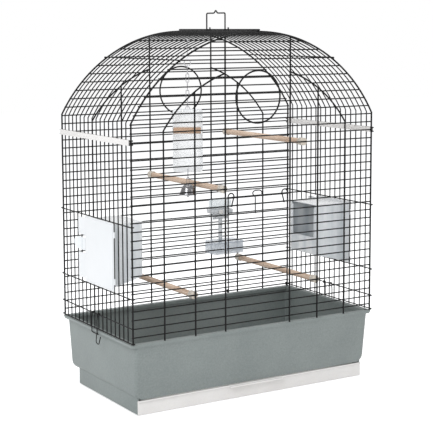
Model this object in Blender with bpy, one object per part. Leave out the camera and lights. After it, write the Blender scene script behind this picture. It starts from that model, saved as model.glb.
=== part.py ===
"""Arched wire bird cage on a plastic base with a pull-out drawer, in metres, Z up, front towards -Y."""

import math

import bmesh
import bpy
from mathutils import Matrix, Vector

# Clearances
GAP = 0.0003
BITE = 0.0003
EYE_PLAY = 0.0007

# Wire lattice
CAGE_WIDTH = 0.580
CAGE_DEPTH = 0.3145
BASE_HEIGHT = 0.150
POST_R = 0.0016
STRUT_R = 0.00145
ARCH_R = 0.0013
SLIM_R = 0.00115
ROW_R = 0.001
ROW_PITCH = 0.0173
FIRST_ROW = 0.0109
SPRING_ROW = 24
SPRING_ABOVE_ROW = 0.0025
ARCH_RADIUS = 0.3296
INNER_ARCH_GAP = 0.0696
CROWN_ROOM = 0.012
DOOR_STRUT_X = 0.0785
RING_RADIUS = 0.053
RING_ABOVE_SPRING = 0.0424
ROOF_WIRE_ANGLE = math.radians(34)
SIDE_BAYS = 17
WIRE_END = 0.0016

# Side panel, with heights above the foot of the wires
SIDE_CROSS_HEIGHTS = (0.0, 0.030, 0.088, 0.229)
PANEL_BELOW_SPRING = 0.0406
STRIP_OPENING = 0.008
HATCH_LOW = SIDE_CROSS_HEIGHTS[2]
HATCH_HIGH = SIDE_CROSS_HEIGHTS[3]
HATCH_FIRST = 4
HATCH_LAST = 12

# Cover strip between side panel and roof
STRIP_THICK = 0.0012
STRIP_LIP = 0.0015
STRIP_WEB_IN = 0.0022

# Door
DOOR_FIRST_ROW = 5
DOOR_LAST_ROW = 15
DOOR_WIRE_R = 0.0012
DOOR_SIDE_GAP = 0.0065
CROOK_R = 0.0068
CROOK_RISE = 0.0018
PULL_X = -0.007
PULL_LOOP = ((-0.0125, 0.0022), (-0.0135, 0.0070), (-0.0085, 0.0106), (0.0045, 0.0106), (0.0095, 0.0066),
             (0.0085, 0.0022))

# Latch
LATCH_R = 0.0011
LATCH_RIM_GAP = 0.0008
LATCH_TUCK = 0.0015
LATCH_LOOP_DROP = 0.016
LATCH_LOOP_WIDTH = 0.010

# Ridge rod and carrying bail
RIDGE_R = 0.002
RIDGE_OVERHANG = 0.004
BAIL_R = 0.0012
BAIL_SHOULDER = 0.014
BAIL_TOP = 0.0351
BAIL_PEAK = 0.0415

# Base tray
RIM_OUT_X = 0.005
RIM_OUT_Y = 0.0030
RIM_THICK = 0.0065
RIM_CORNER = 0.007
RIM_TAPER = 0.003
TRAY_IN_X = 0.006
TRAY_IN_Y = 0.00725
TRAY_WALL = 0.0025
TRAY_FLOOR_Z = 0.032
TRAY_DRAFT = 0.003
TRAY_CORNER = 0.006
TRAY_FOOT_ROUND = 0.015
SKIRT_IN_X = 0.011
SKIRT_IN_BACK = 0.018
SKIRT_FRONT = 0.0006
SKIRT_WALL = 0.005
LEDGE_X = 0.028
LEDGE_Y = 0.025
LEDGE_CORNER = 0.010
RAIL_WIDTH = 0.016
FOOT_HEIGHT = 0.0017
FOOT_R = 0.006

# Drawer
DRAWER_SLACK = 0.0025
DRAWER_WALL = 0.002
DRAWER_FRONT = 0.003
DRAWER_SILL = 0.0045
DRAWER_BEHIND = 0.006
DRAWER_LIP = 0.002
PULL_HALF = 0.065
PULL_DEPTH = 0.009

# Perches and their end caps
PERCH_R = 0.006
CAP_R = 0.008
CAP_LENGTH = 0.015
CAP_GRIP = 0.008
PERCHES = (("perch_upper_right", 0.115, 21), ("perch_middle", -0.080, 16),
           ("perch_lower_left", -0.150, 4), ("perch_lower_right", 0.148, 4))

# Feeders, with heights above the foot of the wires
PLATE_THICK = 0.0012
PLATE_TABS = (0.096, 0.148, 0.186, 0.222)
PLATE_STEP = 0.0205
PLATE_TAB_REACH = 0.0115
CLIP_HEIGHTS = (0.110, 0.204)
CLIP_R = 0.0029
CLIP_BORE = 0.00145
CLIP_SLOT = 0.00085
CLIP_HALF = 0.006
TONGUE_LOW = 0.154
TONGUE_HIGH = 0.180
TONGUE_REACH = 0.0315
TONGUE_TAPER = 0.018
TONGUE_CORNER = 0.008
TONGUE_THICK = 0.002
HOPPER_DEPTH = 0.0763
HOPPER_WALL = 0.002
HOPPER_FOOT = 0.091
HOPPER_SILL = 0.110
HOPPER_HEAD = 0.220
HOPPER_FROM_HINGE = 0.02125
HOPPER_FROM_STEP = 0.00525
WINDOW_LOW = 0.148
WINDOW_HIGH = 0.212
WINDOW_IN = 0.011
LID_THICK = 0.002

# Drinker, with heights above the foot of the wires
DRINKER_X = 0.100
DRINKER_ROW = 10
TROUGH_HALF = 0.044
TROUGH_DEPTH = 0.048
TROUGH_LOW = 0.099
TROUGH_HIGH = 0.128
TANK_HALF = 0.038
TANK_DEPTH = 0.030
TANK_LOW = 0.112
TANK_HIGH = 0.221
TANK_BEHIND = 0.0024
DRINKER_WALL = 0.002
HANGER_HALF = 0.020
HANGER_LOW = 0.118
HANGER_ABOVE_ROW = 0.012
HOOK_WIDTH = 0.008
HOOK_SPREAD = 0.010
HOOK_REACH = 0.0038
HOOK_THICK = 0.0014
HOOK_DROP = 0.004
KNOB_R = 0.005
KNOB_LENGTH = 0.006
KNOB_X = 0.020
KNOB_HEIGHT = 0.195

# Hanging toy
TOY_X = -0.1114
TOY_WIRE = 5
TOY_TURN = math.radians(35)
TOY_RING_R = 0.0065
TOY_RING_DROP = 0.037865
EYELET_R = 0.0009
LINK_R = 0.0008
LINK_HALF = 0.0072
LINK_END = 0.0030
LINK_COUNT = 5
MIRROR_HALF = 0.0305
MIRROR_HALF_THICK = 0.0015
MIRROR_HEIGHT = 0.130
BRACKET_WIDTH = 0.0022
TOY_BAR_R = 0.006
TOY_BAR_DROP = 0.044
MIRROR_HOLE_R = 0.0022
MIRROR_HOLE_UP = 0.0075
BELL_DROP = 0.012
CLAPPER_DROP = 0.0245
CLAPPER_R = 0.003
BELL_PROFILE = ((0.0, 0.0), (0.006, -0.0008), (0.011, -0.005), (0.0145, -0.012), (0.018, -0.022),
                (0.0166, -0.022), (0.0132, -0.0122), (0.0098, -0.0060), (0.0054, -0.0022), (0.0, -0.0014))

# Sizes that follow
POST_X = CAGE_WIDTH / 2
PANEL_Y = CAGE_DEPTH / 2
SIDE_PITCH = CAGE_DEPTH / SIDE_BAYS
STRUT_PITCH = (POST_X - DOOR_STRUT_X) / 3
ROW_Y = PANEL_Y - SLIM_R - ROW_R + BITE
CROSS_OUT = POST_R + ROW_R + GAP
SIDE_OUT = CROSS_OUT - 2 * ROW_R + BITE
SPRING = BASE_HEIGHT + FIRST_ROW + ROW_PITCH * SPRING_ROW + SPRING_ABOVE_ROW
ARCH_CENTRE = SPRING - math.sqrt(ARCH_RADIUS ** 2 - POST_X ** 2)
SPRING_ANGLE = math.asin(POST_X / ARCH_RADIUS)
ROWS_HIGH = ARCH_CENTRE + ARCH_RADIUS - CROWN_ROOM - BASE_HEIGHT - FIRST_ROW
ROW_COUNT = math.floor(ROWS_HIGH / ROW_PITCH) + 1
PANEL_TOP = SPRING - BASE_HEIGHT - PANEL_BELOW_SPRING
ROOF_FOOT = PANEL_TOP + STRIP_OPENING
LINK_RISE = LINK_END * math.sin(math.radians(45))
LINK_LENGTH = 2 * (LINK_HALF + LINK_RISE)
RIM_TOP = BASE_HEIGHT - 0.003
WIRE_FOOT = BASE_HEIGHT - 0.0023

COLOURS = {
    "black_wire": ((0.012, 0.012, 0.014, 1.0), 0.38, 0.0),
    "grey_plastic": ((0.255, 0.290, 0.280, 1.0), 0.55, 0.0),
    "white_plastic": ((0.800, 0.790, 0.780, 1.0), 0.45, 0.0),
    "pale_plastic": ((0.700, 0.740, 0.780, 1.0), 0.30, 0.0),
    "clear_plastic": ((0.560, 0.600, 0.650, 1.0), 0.20, 0.0),
    "water_plastic": ((0.520, 0.600, 0.660, 1.0), 0.18, 0.0),
    "wood": ((0.640, 0.400, 0.270, 1.0), 0.70, 0.0),
    "cap_plastic": ((0.620, 0.560, 0.480, 1.0), 0.50, 0.0),
    "chrome": ((0.600, 0.600, 0.620, 1.0), 0.18, 1.0),
    "mirror_plastic": ((0.820, 0.840, 0.850, 1.0), 0.12, 0.0),
    "dark_rubber": ((0.030, 0.030, 0.030, 1.0), 0.85, 0.0),
}


def clear_scene():
    for item in list(bpy.data.objects):
        bpy.data.objects.remove(item, do_unlink=True)


def new_collection(name):
    collection = bpy.data.collections.new(name)
    bpy.context.scene.collection.children.link(collection)
    return collection


def make_materials():
    made = {}
    for name, (colour, roughness, metallic) in COLOURS.items():
        material = bpy.data.materials.new(name)
        material.use_nodes = True
        shader = material.node_tree.nodes["Principled BSDF"]
        shader.inputs["Base Color"].default_value = colour
        shader.inputs["Roughness"].default_value = roughness
        shader.inputs["Metallic"].default_value = metallic
        material.diffuse_color = colour
        made[name] = material
    return made


clear_scene()
PARTS = new_collection("bird_cage")
CUTTERS = new_collection("cutters")
MATERIALS = make_materials()


def place(name, mesh, look=None):
    """Put a mesh in the scene as a part, or as a cutter when it has no look."""
    item = bpy.data.objects.new(name, mesh)
    if look is None:
        CUTTERS.objects.link(item)
        item.hide_render = True
        item.display_type = "WIRE"
    else:
        PARTS.objects.link(item)
        mesh.materials.clear()
        mesh.materials.append(MATERIALS[look])
    return item


def mesh_from(name, shape):
    bmesh.ops.recalc_face_normals(shape, faces=shape.faces)
    mesh = bpy.data.meshes.new(name)
    shape.to_mesh(mesh)
    shape.free()
    return mesh


def mesh_from_curve(name, curve, matrix=None):
    """Turn a curve into a closed mesh in world axes and drop the curve."""
    holder = bpy.data.objects.new(name, curve)
    bpy.context.scene.collection.objects.link(holder)
    bpy.context.view_layer.update()
    evaluated = holder.evaluated_get(bpy.context.evaluated_depsgraph_get())
    mesh = bpy.data.meshes.new_from_object(evaluated)
    mesh.name = name
    bpy.data.objects.remove(holder, do_unlink=True)
    bpy.data.curves.remove(curve)
    shape = bmesh.new()
    shape.from_mesh(mesh)
    bmesh.ops.remove_doubles(shape, verts=shape.verts, dist=0.00001)
    bmesh.ops.recalc_face_normals(shape, faces=shape.faces)
    if matrix is not None:
        bmesh.ops.transform(shape, matrix=matrix, verts=shape.verts)
    shape.to_mesh(mesh)
    shape.free()
    return mesh


def wires(name, runs, look=None):
    """Four-sided wires: each run is its points, its radius and, for a ring, True."""
    curve = bpy.data.curves.new(name, "CURVE")
    curve.dimensions = "3D"
    curve.bevel_depth = ROW_R
    curve.bevel_resolution = 0
    curve.use_fill_caps = True
    for run in runs:
        points = run[0]
        spline = curve.splines.new("POLY")
        spline.points.add(len(points) - 1)
        for knot, point in zip(spline.points, points):
            knot.co = (point[0], point[1], point[2], 1.0)
            knot.radius = run[1] / ROW_R
        spline.use_cyclic_u = len(run) > 2
    return place(name, mesh_from_curve(name, curve), look)


def prism(name, outline, low, high, axis, look=None):
    """A flat outline in the plane square to the X or Y axis, drawn from low to high along it."""
    curve = bpy.data.curves.new(name, "CURVE")
    curve.dimensions = "2D"
    curve.fill_mode = "BOTH"
    curve.extrude = (high - low) / 2
    spline = curve.splines.new("POLY")
    spline.points.add(len(outline) - 1)
    for knot, point in zip(spline.points, outline):
        knot.co = (point[0], point[1], 0.0, 1.0)
    spline.use_cyclic_u = True
    middle = (low + high) / 2
    if axis == "X":
        matrix = Matrix(((0, 0, 1, middle), (1, 0, 0, 0), (0, 1, 0, 0), (0, 0, 0, 1)))
    else:
        matrix = Matrix(((1, 0, 0, 0), (0, 0, -1, middle), (0, 1, 0, 0), (0, 0, 0, 1)))
    return place(name, mesh_from_curve(name, curve, matrix), look)


def box(name, low, high, look=None, bevel=0.0):
    """A box between two corners, with its edges rounded by one facet when asked."""
    low = Vector(low)
    high = Vector(high)
    shape = bmesh.new()
    bmesh.ops.create_cube(shape, size=1.0)
    bmesh.ops.scale(shape, vec=high - low, verts=shape.verts)
    bmesh.ops.translate(shape, vec=(low + high) / 2, verts=shape.verts)
    if bevel:
        bmesh.ops.bevel(shape, geom=shape.edges[:], offset=bevel, segments=1, affect="EDGES")
    return place(name, mesh_from(name, shape), look)


def rounded_block(name, half_x, half_y, low, high, corner, foot_in=0.0):
    """A cutter or rim with round upright corners that narrows to its foot."""
    shape = tapered_block(half_x, half_y, low, high, foot_in)
    upright = [edge for edge in shape.edges if abs(edge.verts[0].co.z - edge.verts[1].co.z) > GAP]
    bmesh.ops.bevel(shape, geom=upright, offset=corner, segments=3, profile=0.5, affect="EDGES")
    return place(name, mesh_from(name, shape))


def tapered_block(half_x, half_y, low, high, foot_in):
    shape = bmesh.new()
    bmesh.ops.create_cube(shape, size=2.0)
    for vert in shape.verts:
        inset = foot_in if vert.co.z < 0 else 0.0
        vert.co.x *= half_x - inset
        vert.co.y *= half_y - inset
        vert.co.z = low if vert.co.z < 0 else high
    return shape


def tub(name, half_x, half_y, low, high, thin, look=None):
    """A tub with flat front and back, whose ends turn round into its foot; thin is taken off each radius."""
    shape = tapered_block(half_x, half_y, low, high, TRAY_DRAFT)
    foot = [edge for edge in shape.edges if max(vert.co.z for vert in edge.verts) < low + GAP
            and abs(edge.verts[0].co.x - edge.verts[1].co.x) < GAP]
    bmesh.ops.bevel(shape, geom=foot, offset=TRAY_FOOT_ROUND - thin, segments=4, profile=0.5, affect="EDGES")
    shape.normal_update()
    ends = []
    for edge in shape.edges:
        across = sorted(abs(face.normal.y) for face in edge.link_faces)
        level = max(abs(face.normal.z) for face in edge.link_faces)
        if across[0] < 0.1 and across[1] > 0.9 and level < 0.995:
            ends.append(edge)
    bmesh.ops.bevel(shape, geom=ends, offset=TRAY_CORNER - thin, segments=2, profile=0.5, affect="EDGES")
    return place(name, mesh_from(name, shape), look)


def cylinder(name, radius, start, end, sides, look=None, turn=0.0):
    """A round bar between two points."""
    start = Vector(start)
    end = Vector(end)
    along = end - start
    shape = bmesh.new()
    bmesh.ops.create_cone(shape, cap_ends=True, segments=sides, radius1=radius, radius2=radius,
                          depth=along.length)
    spin = Vector((0, 0, 1)).rotation_difference(along).to_matrix().to_4x4()
    move = Matrix.Translation((start + end) / 2)
    bmesh.ops.transform(shape, matrix=move @ spin @ Matrix.Rotation(turn, 4, "Z"), verts=shape.verts)
    item = place(name, mesh_from(name, shape), look)
    for face in item.data.polygons:
        face.use_smooth = len(face.vertices) == 4
    return item


def combine(target, other, how, tangled=False):
    """Join, or cut, with an exact Boolean that stays on the part."""
    modifier = target.modifiers.new(how.lower(), "BOOLEAN")
    modifier.operation = how
    modifier.solver = "EXACT"
    modifier.use_self = tangled
    modifier.object = other


def hang(item, pivot):
    """Move the origin of a part to its joint's axis."""
    item.data.transform(Matrix.Translation(-Vector(pivot)))
    item.location = pivot


def row_height(index):
    return BASE_HEIGHT + FIRST_ROW + ROW_PITCH * index


def side_wire_y(index):
    return -PANEL_Y + SIDE_PITCH * index


def arch_angles():
    """Angles of the arch's corners, with a flat over each roof cross wire and over the ridge."""
    step = ROOF_WIRE_ANGLE / 4
    middle = [step * (index - 4.5) for index in range(10)]
    rest = (SPRING_ANGLE - middle[-1]) / 3
    right = [middle[-1] + rest * (index + 1) for index in range(3)]
    return [-angle for angle in reversed(right)] + middle + right


def arch_points(radius):
    """Corners of an arch as across and up."""
    return [(radius * math.sin(a), ARCH_CENTRE + radius * math.cos(a)) for a in arch_angles()]


def arch_height(across, radius):
    """Height of the arch's wire over a place across the cage."""
    points = arch_points(radius)
    for left, right in zip(points, points[1:]):
        if left[0] <= across <= right[0]:
            share = (across - left[0]) / (right[0] - left[0])
            return left[1] + share * (right[1] - left[1])
    return SPRING


def arch_reach(height):
    """Half width of the arch at a height, and the wire's slope there."""
    points = [point for point in arch_points(ARCH_RADIUS) if point[0] > 0]
    points.insert(0, (0.0, points[0][1]))
    for inner, outer in zip(points, points[1:]):
        if inner[1] >= height >= outer[1] and inner[1] > outer[1]:
            share = (inner[1] - height) / (inner[1] - outer[1])
            slope = math.atan2(inner[1] - outer[1], outer[0] - inner[0])
            return inner[0] + share * (outer[0] - inner[0]), slope
    return POST_X, math.pi / 2


def end_panel(name, side, with_door):
    """Front or back lattice: posts, arch, struts and ring outside, rows of thin wire inside."""
    y = side * PANEL_Y
    frame = [(-POST_X, y, WIRE_FOOT)]
    frame += [(x, y, z) for x, z in arch_points(ARCH_RADIUS)]
    frame += [(POST_X, y, WIRE_FOOT)]
    runs = [(frame, POST_R)]
    inner = ARCH_RADIUS - INNER_ARCH_GAP
    outer_strut = POST_X - STRUT_PITCH
    slim_strut = POST_X - 2 * STRUT_PITCH
    first = math.asin(outer_strut / inner)
    last = math.asin(DOOR_STRUT_X / inner)
    bends = [first + (last - first) * index / 5 for index in range(6)]
    curve = [(inner * math.sin(a), ARCH_CENTRE + inner * math.cos(a)) for a in bends]
    slim_top = ARCH_CENTRE + math.sqrt(inner ** 2 - slim_strut ** 2)
    for sign in (-1, 1):
        top = arch_height(DOOR_STRUT_X, ARCH_RADIUS)
        runs.append(([(sign * DOOR_STRUT_X, y, WIRE_FOOT), (sign * DOOR_STRUT_X, y, top)], STRUT_R))
        bent = [(sign * outer_strut, y, WIRE_FOOT)] + [(sign * x, y, z) for x, z in curve]
        runs.append((bent, ARCH_R))
        runs.append(([(sign * slim_strut, y, WIRE_FOOT), (sign * slim_strut, y, slim_top)], SLIM_R))
    turn = math.pi / 6
    centre = SPRING + RING_ABOVE_SPRING
    ring = [(RING_RADIUS * math.sin(turn * (i + 0.5)), y, centre + RING_RADIUS * math.cos(turn * (i + 0.5)))
            for i in range(12)]
    runs.append((ring, ARCH_R, True))
    panel = wires(name, runs, "black_wire")
    rows = []
    heights = [BASE_HEIGHT] + [row_height(index) for index in range(ROW_COUNT)]
    for number, height in enumerate(heights):
        reach, slope = arch_reach(height)
        reach += POST_R / math.sin(slope)
        spans = [(-reach, reach)]
        if with_door and DOOR_FIRST_ROW <= number - 1 <= DOOR_LAST_ROW:
            stop = DOOR_STRUT_X - POST_R
            spans = [(-reach, -stop), (stop, reach)]
        for left, right in spans:
            rows.append(([(left, side * ROW_Y, height), (right, side * ROW_Y, height)], ROW_R))
    combine(panel, wires(name + "_rows", rows), "UNION", tangled=True)
    return panel


def cross_wire(x, z, out_x, out_z):
    """A wire from front to back outside the posts, its ends hooked round them."""
    points = []
    for side in (-1, 1):
        hook = []
        for out, beyond in ((CROSS_OUT, 2 * POST_R), (POST_R / 2, 3 * POST_R), (-POST_R, 2.75 * POST_R)):
            hook.append((x + out_x * out, side * (PANEL_Y + beyond), z + out_z * out))
        points += reversed(hook) if side < 0 else hook
    return (points, ROW_R)


def side_panel(name, side):
    """Side lattice with an opening for its feeder."""
    x = side * (POST_X + SIDE_OUT)
    heights = [BASE_HEIGHT + height for height in SIDE_CROSS_HEIGHTS] + [BASE_HEIGHT + PANEL_TOP]
    panel = wires(name, [cross_wire(side * POST_X, z, side, 0) for z in heights], "black_wire")
    uprights = []
    for index in range(1, SIDE_BAYS):
        y = side_wire_y(index)
        spans = [(BASE_HEIGHT - WIRE_END, BASE_HEIGHT + PANEL_TOP + WIRE_END)]
        if HATCH_FIRST < index < HATCH_LAST:
            spans = [(BASE_HEIGHT - WIRE_END, BASE_HEIGHT + HATCH_LOW + WIRE_END),
                     (BASE_HEIGHT + HATCH_HIGH - WIRE_END, BASE_HEIGHT + PANEL_TOP + WIRE_END)]
        uprights += [([(x, y, low), (x, y, high)], ROW_R) for low, high in spans]
    combine(panel, wires(name + "_uprights", uprights), "UNION")
    return panel


def roof_panel():
    """Arched roof lattice."""
    runs = [cross_wire(side * POST_X, BASE_HEIGHT + ROOF_FOOT, side, 0) for side in (-1, 1)]
    flat = math.cos(ROOF_WIRE_ANGLE / 8)
    for side in (-1, 1):
        out_x = side * math.sin(ROOF_WIRE_ANGLE)
        out_z = math.cos(ROOF_WIRE_ANGLE)
        runs.append(cross_wire(ARCH_RADIUS * flat * out_x, ARCH_CENTRE + ARCH_RADIUS * flat * out_z,
                               out_x, out_z))
    panel = wires("roof_panel", runs, "black_wire")
    foot = BASE_HEIGHT + ROOF_FOOT - WIRE_END
    edge = POST_X + SIDE_OUT
    hoops = []
    for index in range(1, SIDE_BAYS):
        y = side_wire_y(index)
        hoop = [(-edge, y, foot)] + [(x, y, z) for x, z in arch_points(ARCH_RADIUS + SIDE_OUT)]
        hoops.append((hoop + [(edge, y, foot)], ROW_R))
    combine(panel, wires("roof_hoops", hoops), "UNION")
    return panel


def tray():
    """Moulded base with a rim, a skirt that holds the drawer and an open floor above it."""
    half_x = POST_X + RIM_OUT_X
    half_y = PANEL_Y + RIM_OUT_Y
    body_x = POST_X - TRAY_IN_X
    body_y = PANEL_Y - TRAY_IN_Y
    floor = TRAY_FLOOR_Z + TRAY_WALL
    base = tub("tray", body_x, body_y, TRAY_FLOOR_Z, RIM_TOP - RIM_THICK / 2, 0.0, "grey_plastic")
    rim = rounded_block("tray_rim", half_x, half_y, RIM_TOP - RIM_THICK, RIM_TOP, RIM_CORNER, RIM_TAPER)
    combine(base, rim, "UNION")
    skirt_x = body_x - TRAY_DRAFT - SKIRT_IN_X
    front_y = TRAY_DRAFT + SKIRT_FRONT - body_y
    back_y = body_y - TRAY_DRAFT - SKIRT_IN_BACK
    skirt = box("tray_skirt", (-skirt_x, front_y, FOOT_HEIGHT + GAP), (skirt_x, back_y, floor - TRAY_WALL / 2),
                bevel=TRAY_WALL / 2)
    combine(base, skirt, "UNION")
    hollow = tub("tray_hollow", body_x - TRAY_WALL, body_y - TRAY_WALL, floor, RIM_TOP + RIM_THICK, TRAY_WALL)
    combine(base, hollow, "DIFFERENCE")
    pocket_x = skirt_x - SKIRT_WALL
    roof = TRAY_FLOOR_Z - TRAY_WALL / 2
    below = -FOOT_HEIGHT
    pocket = box("drawer_pocket", (-pocket_x, -body_y, DRAWER_SILL), (pocket_x, back_y - TRAY_WALL, roof))
    combine(base, pocket, "DIFFERENCE")
    mouth = box("drawer_mouth", (-pocket_x, -body_y, below), (pocket_x, front_y + DRAWER_FRONT + BITE, roof))
    combine(base, mouth, "DIFFERENCE")
    under_x = pocket_x - RAIL_WIDTH
    under = box("under_opening", (-under_x, front_y, below), (under_x, back_y - RAIL_WIDTH, DRAWER_SILL + BITE))
    combine(base, under, "DIFFERENCE")
    well = rounded_block("tray_floor_opening", skirt_x - LEDGE_X, back_y - LEDGE_Y, roof - RIM_THICK,
                         floor + RIM_THICK, LEDGE_CORNER)
    combine(base, well, "DIFFERENCE")
    rail_x = pocket_x - RAIL_WIDTH / 2
    for across, name_x in ((-rail_x, "left"), (rail_x, "right")):
        for y, name_y in ((front_y + 3.5 * FOOT_R, "front"), (back_y - 1.5 * FOOT_R, "back")):
            cylinder(f"foot_{name_y}_{name_x}", FOOT_R, (across, y, 0), (across, y, FOOT_HEIGHT), 12,
                     "dark_rubber")
    drawer(pocket_x, front_y, back_y, roof)


def drawer(pocket_x, front_y, skirt_back, roof):
    """Shallow drawer with a wide front, a top lip and a finger pull."""
    front_x = pocket_x - DRAWER_SLACK
    body_x = front_x - DRAWER_FRONT
    back_y = skirt_back - DRAWER_BEHIND
    top = roof - 2 * GAP
    base = DRAWER_SILL + GAP
    item = box("drawer", (-front_x, front_y, FOOT_HEIGHT - EYE_PLAY), (front_x, front_y + DRAWER_FRONT, top),
               "white_plastic")
    body = box("drawer_body", (-body_x, front_y + DRAWER_FRONT / 2, base), (body_x, back_y, top - DRAWER_LIP))
    combine(item, body, "UNION")
    lip = box("drawer_lip", (-front_x, front_y - DRAWER_LIP, top - DRAWER_FRONT), (front_x, front_y + BITE, top))
    combine(item, lip, "UNION", tangled=True)
    pull = box("drawer_pull", (-PULL_HALF, front_y - PULL_DEPTH, top - 1.5 * DRAWER_FRONT),
               (PULL_HALF, front_y + BITE, top - DRAWER_LIP / 2), bevel=DRAWER_LIP / 2)
    combine(item, pull, "UNION")
    inside = box("drawer_inside", (-body_x + DRAWER_WALL, front_y + DRAWER_FRONT + DRAWER_WALL, base + DRAWER_WALL),
                 (body_x - DRAWER_WALL, back_y - DRAWER_WALL, roof + DRAWER_WALL))
    combine(item, inside, "DIFFERENCE")


def front_door():
    """Door of eleven rows on two bent wires, hinged on the row below it."""
    wire_x = DOOR_STRUT_X - DOOR_SIDE_GAP
    hinge_z = row_height(DOOR_FIRST_ROW - 1)
    top_z = row_height(DOOR_LAST_ROW)
    plane = -(ROW_Y + DOOR_WIRE_R + ROW_R - BITE)
    eye = ROW_R + DOOR_WIRE_R + EYE_PLAY
    runs = []
    for sign in (-1, 1):
        points = []
        for angle in (-230, -200, -155, -110, -65, -20, 25):
            a = math.radians(angle)
            points.append((sign * wire_x, -ROW_Y - eye * math.cos(a), hinge_z + eye * math.sin(a)))
        points.append((sign * wire_x, plane, hinge_z + 5 * DOOR_WIRE_R))
        middle = wire_x - CROOK_R
        for angle in (0, 36, 72, 108, 144, 180, 205):
            a = math.radians(angle)
            points.append((sign * (middle + CROOK_R * math.cos(a)), plane,
                           top_z + CROOK_RISE + CROOK_R * math.sin(a)))
        points.append((sign * (middle - ROW_R), plane, row_height(DOOR_LAST_ROW - 1) - CROOK_RISE))
        runs.append((points, DOOR_WIRE_R))
    pull = [(PULL_X, plane, row_height(DOOR_LAST_ROW - 2) - CROOK_RISE), (PULL_X, plane, top_z - 2 * ROW_R)]
    pull += [(across, plane, top_z + up) for across, up in PULL_LOOP]
    runs.append((pull, ROW_R))
    door = wires("front_door", runs, "black_wire")
    end = wire_x + 2 * ROW_R
    rows = [([(-end, -ROW_Y, row_height(i)), (end, -ROW_Y, row_height(i))], ROW_R)
            for i in range(DOOR_FIRST_ROW, DOOR_LAST_ROW + 1)]
    combine(door, wires("front_door_rows", rows), "UNION", tangled=True)
    hang(door, (0, -ROW_Y, hinge_z))


def latch(name, side):
    """Wire clip that hangs on the second side wire and hooks under the rim."""
    x = side * (POST_X + CROSS_OUT)
    z = BASE_HEIGHT + SIDE_CROSS_HEIGHTS[1]
    leg_y = SIDE_PITCH / 2 + ROW_R + LATCH_R + EYE_PLAY
    eye = ROW_R + LATCH_R + EYE_PLAY
    leg_x = side * (POST_X + RIM_OUT_X + LATCH_R + LATCH_RIM_GAP)
    under = RIM_TOP - RIM_THICK - LATCH_R - EYE_PLAY
    tuck_x = side * (POST_X + RIM_OUT_X - LATCH_TUCK)
    half = []
    for angle in (230, 200, 155, 110, 65, 20):
        a = math.radians(angle)
        half.append((x + side * eye * math.cos(a), z + eye * math.sin(a)))
    half += [(x + side * eye, z - eye - ROW_R), (leg_x, z - 4 * eye - ROW_R), (leg_x, under + eye), (tuck_x, under)]
    run = [(px, -leg_y, pz) for px, pz in half] + [(px, leg_y, pz) for px, pz in reversed(half)]
    clip = wires(name, [(run, LATCH_R)], "black_wire")
    low = under - LATCH_LOOP_DROP
    out = leg_x + side * LATCH_TUCK
    far = leg_y + LATCH_LOOP_WIDTH
    loop = [(leg_x, leg_y, under + 2 * eye), (out, leg_y, under - 2 * LATCH_TUCK), (out, leg_y - 2 * LATCH_R, low),
            (out, far, low - eye), (leg_x, far + 2 * eye, under - LATCH_TUCK)]
    combine(clip, wires(name + "_loop", [(loop, 0.9 * LATCH_R)]), "UNION")
    hang(clip, (x, 0, z))


def ridge():
    """Rod along the ridge, and the carrying bail hooked under it."""
    flat = math.cos(ROOF_WIRE_ANGLE / 8)
    z = ARCH_CENTRE + (ARCH_RADIUS + SIDE_OUT) * flat + ROW_R + GAP + RIDGE_R
    reach = PANEL_Y + RIDGE_OVERHANG
    cylinder("ridge_rod", RIDGE_R, (0, -reach, z), (0, reach, z), 10, "black_wire")
    eye = RIDGE_R + BAIL_R + EYE_PLAY
    foot_y = 2 * SIDE_PITCH
    tip = BAIL_TOP - BAIL_R
    half = [(eye, foot_y, 1.4 * eye)]
    for angle in (0, -45, -90, -135, -180):
        a = math.radians(angle)
        half.append((eye * math.cos(a), foot_y, eye * math.sin(a)))
    half += [(-eye, foot_y, 1.5 * eye), (0, foot_y, BAIL_SHOULDER), (0, foot_y, tip - BAIL_R / 4),
             (0, foot_y - BAIL_R, BAIL_TOP), (0, BAIL_PEAK - BAIL_TOP, BAIL_TOP)]
    run = half + [(0, 0, BAIL_PEAK)] + [(px, -py, pz) for px, py, pz in reversed(half)]
    bail = wires("carry_handle", [([(px, py, z + pz) for px, py, pz in run], BAIL_R)], "black_wire")
    hang(bail, (0, 0, z))


def cover_strip(name, side):
    """Strip of H section that joins the side panel's top wire and the roof's lowest wire."""
    outside = POST_X + CROSS_OUT + ROW_R + GAP
    inside = POST_X + SIDE_OUT - ROW_R - GAP
    low = BASE_HEIGHT + PANEL_TOP - STRIP_LIP
    high = BASE_HEIGHT + ROOF_FOOT + STRIP_LIP
    web_low = BASE_HEIGHT + PANEL_TOP + STRIP_WEB_IN
    web_high = BASE_HEIGHT + ROOF_FOOT - STRIP_WEB_IN
    outline = [(outside, low), (outside + STRIP_THICK, low), (outside + STRIP_THICK, high), (outside, high),
               (outside, web_high), (inside, web_high), (inside, high), (inside - STRIP_THICK, high),
               (inside - STRIP_THICK, low), (inside, low), (inside, web_low), (outside, web_low)]
    outline = [(side * x, z) for x, z in outline]
    half = ROW_Y - ROW_R - GAP
    prism(name, outline, -half, half, "Y", "white_plastic")


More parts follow.
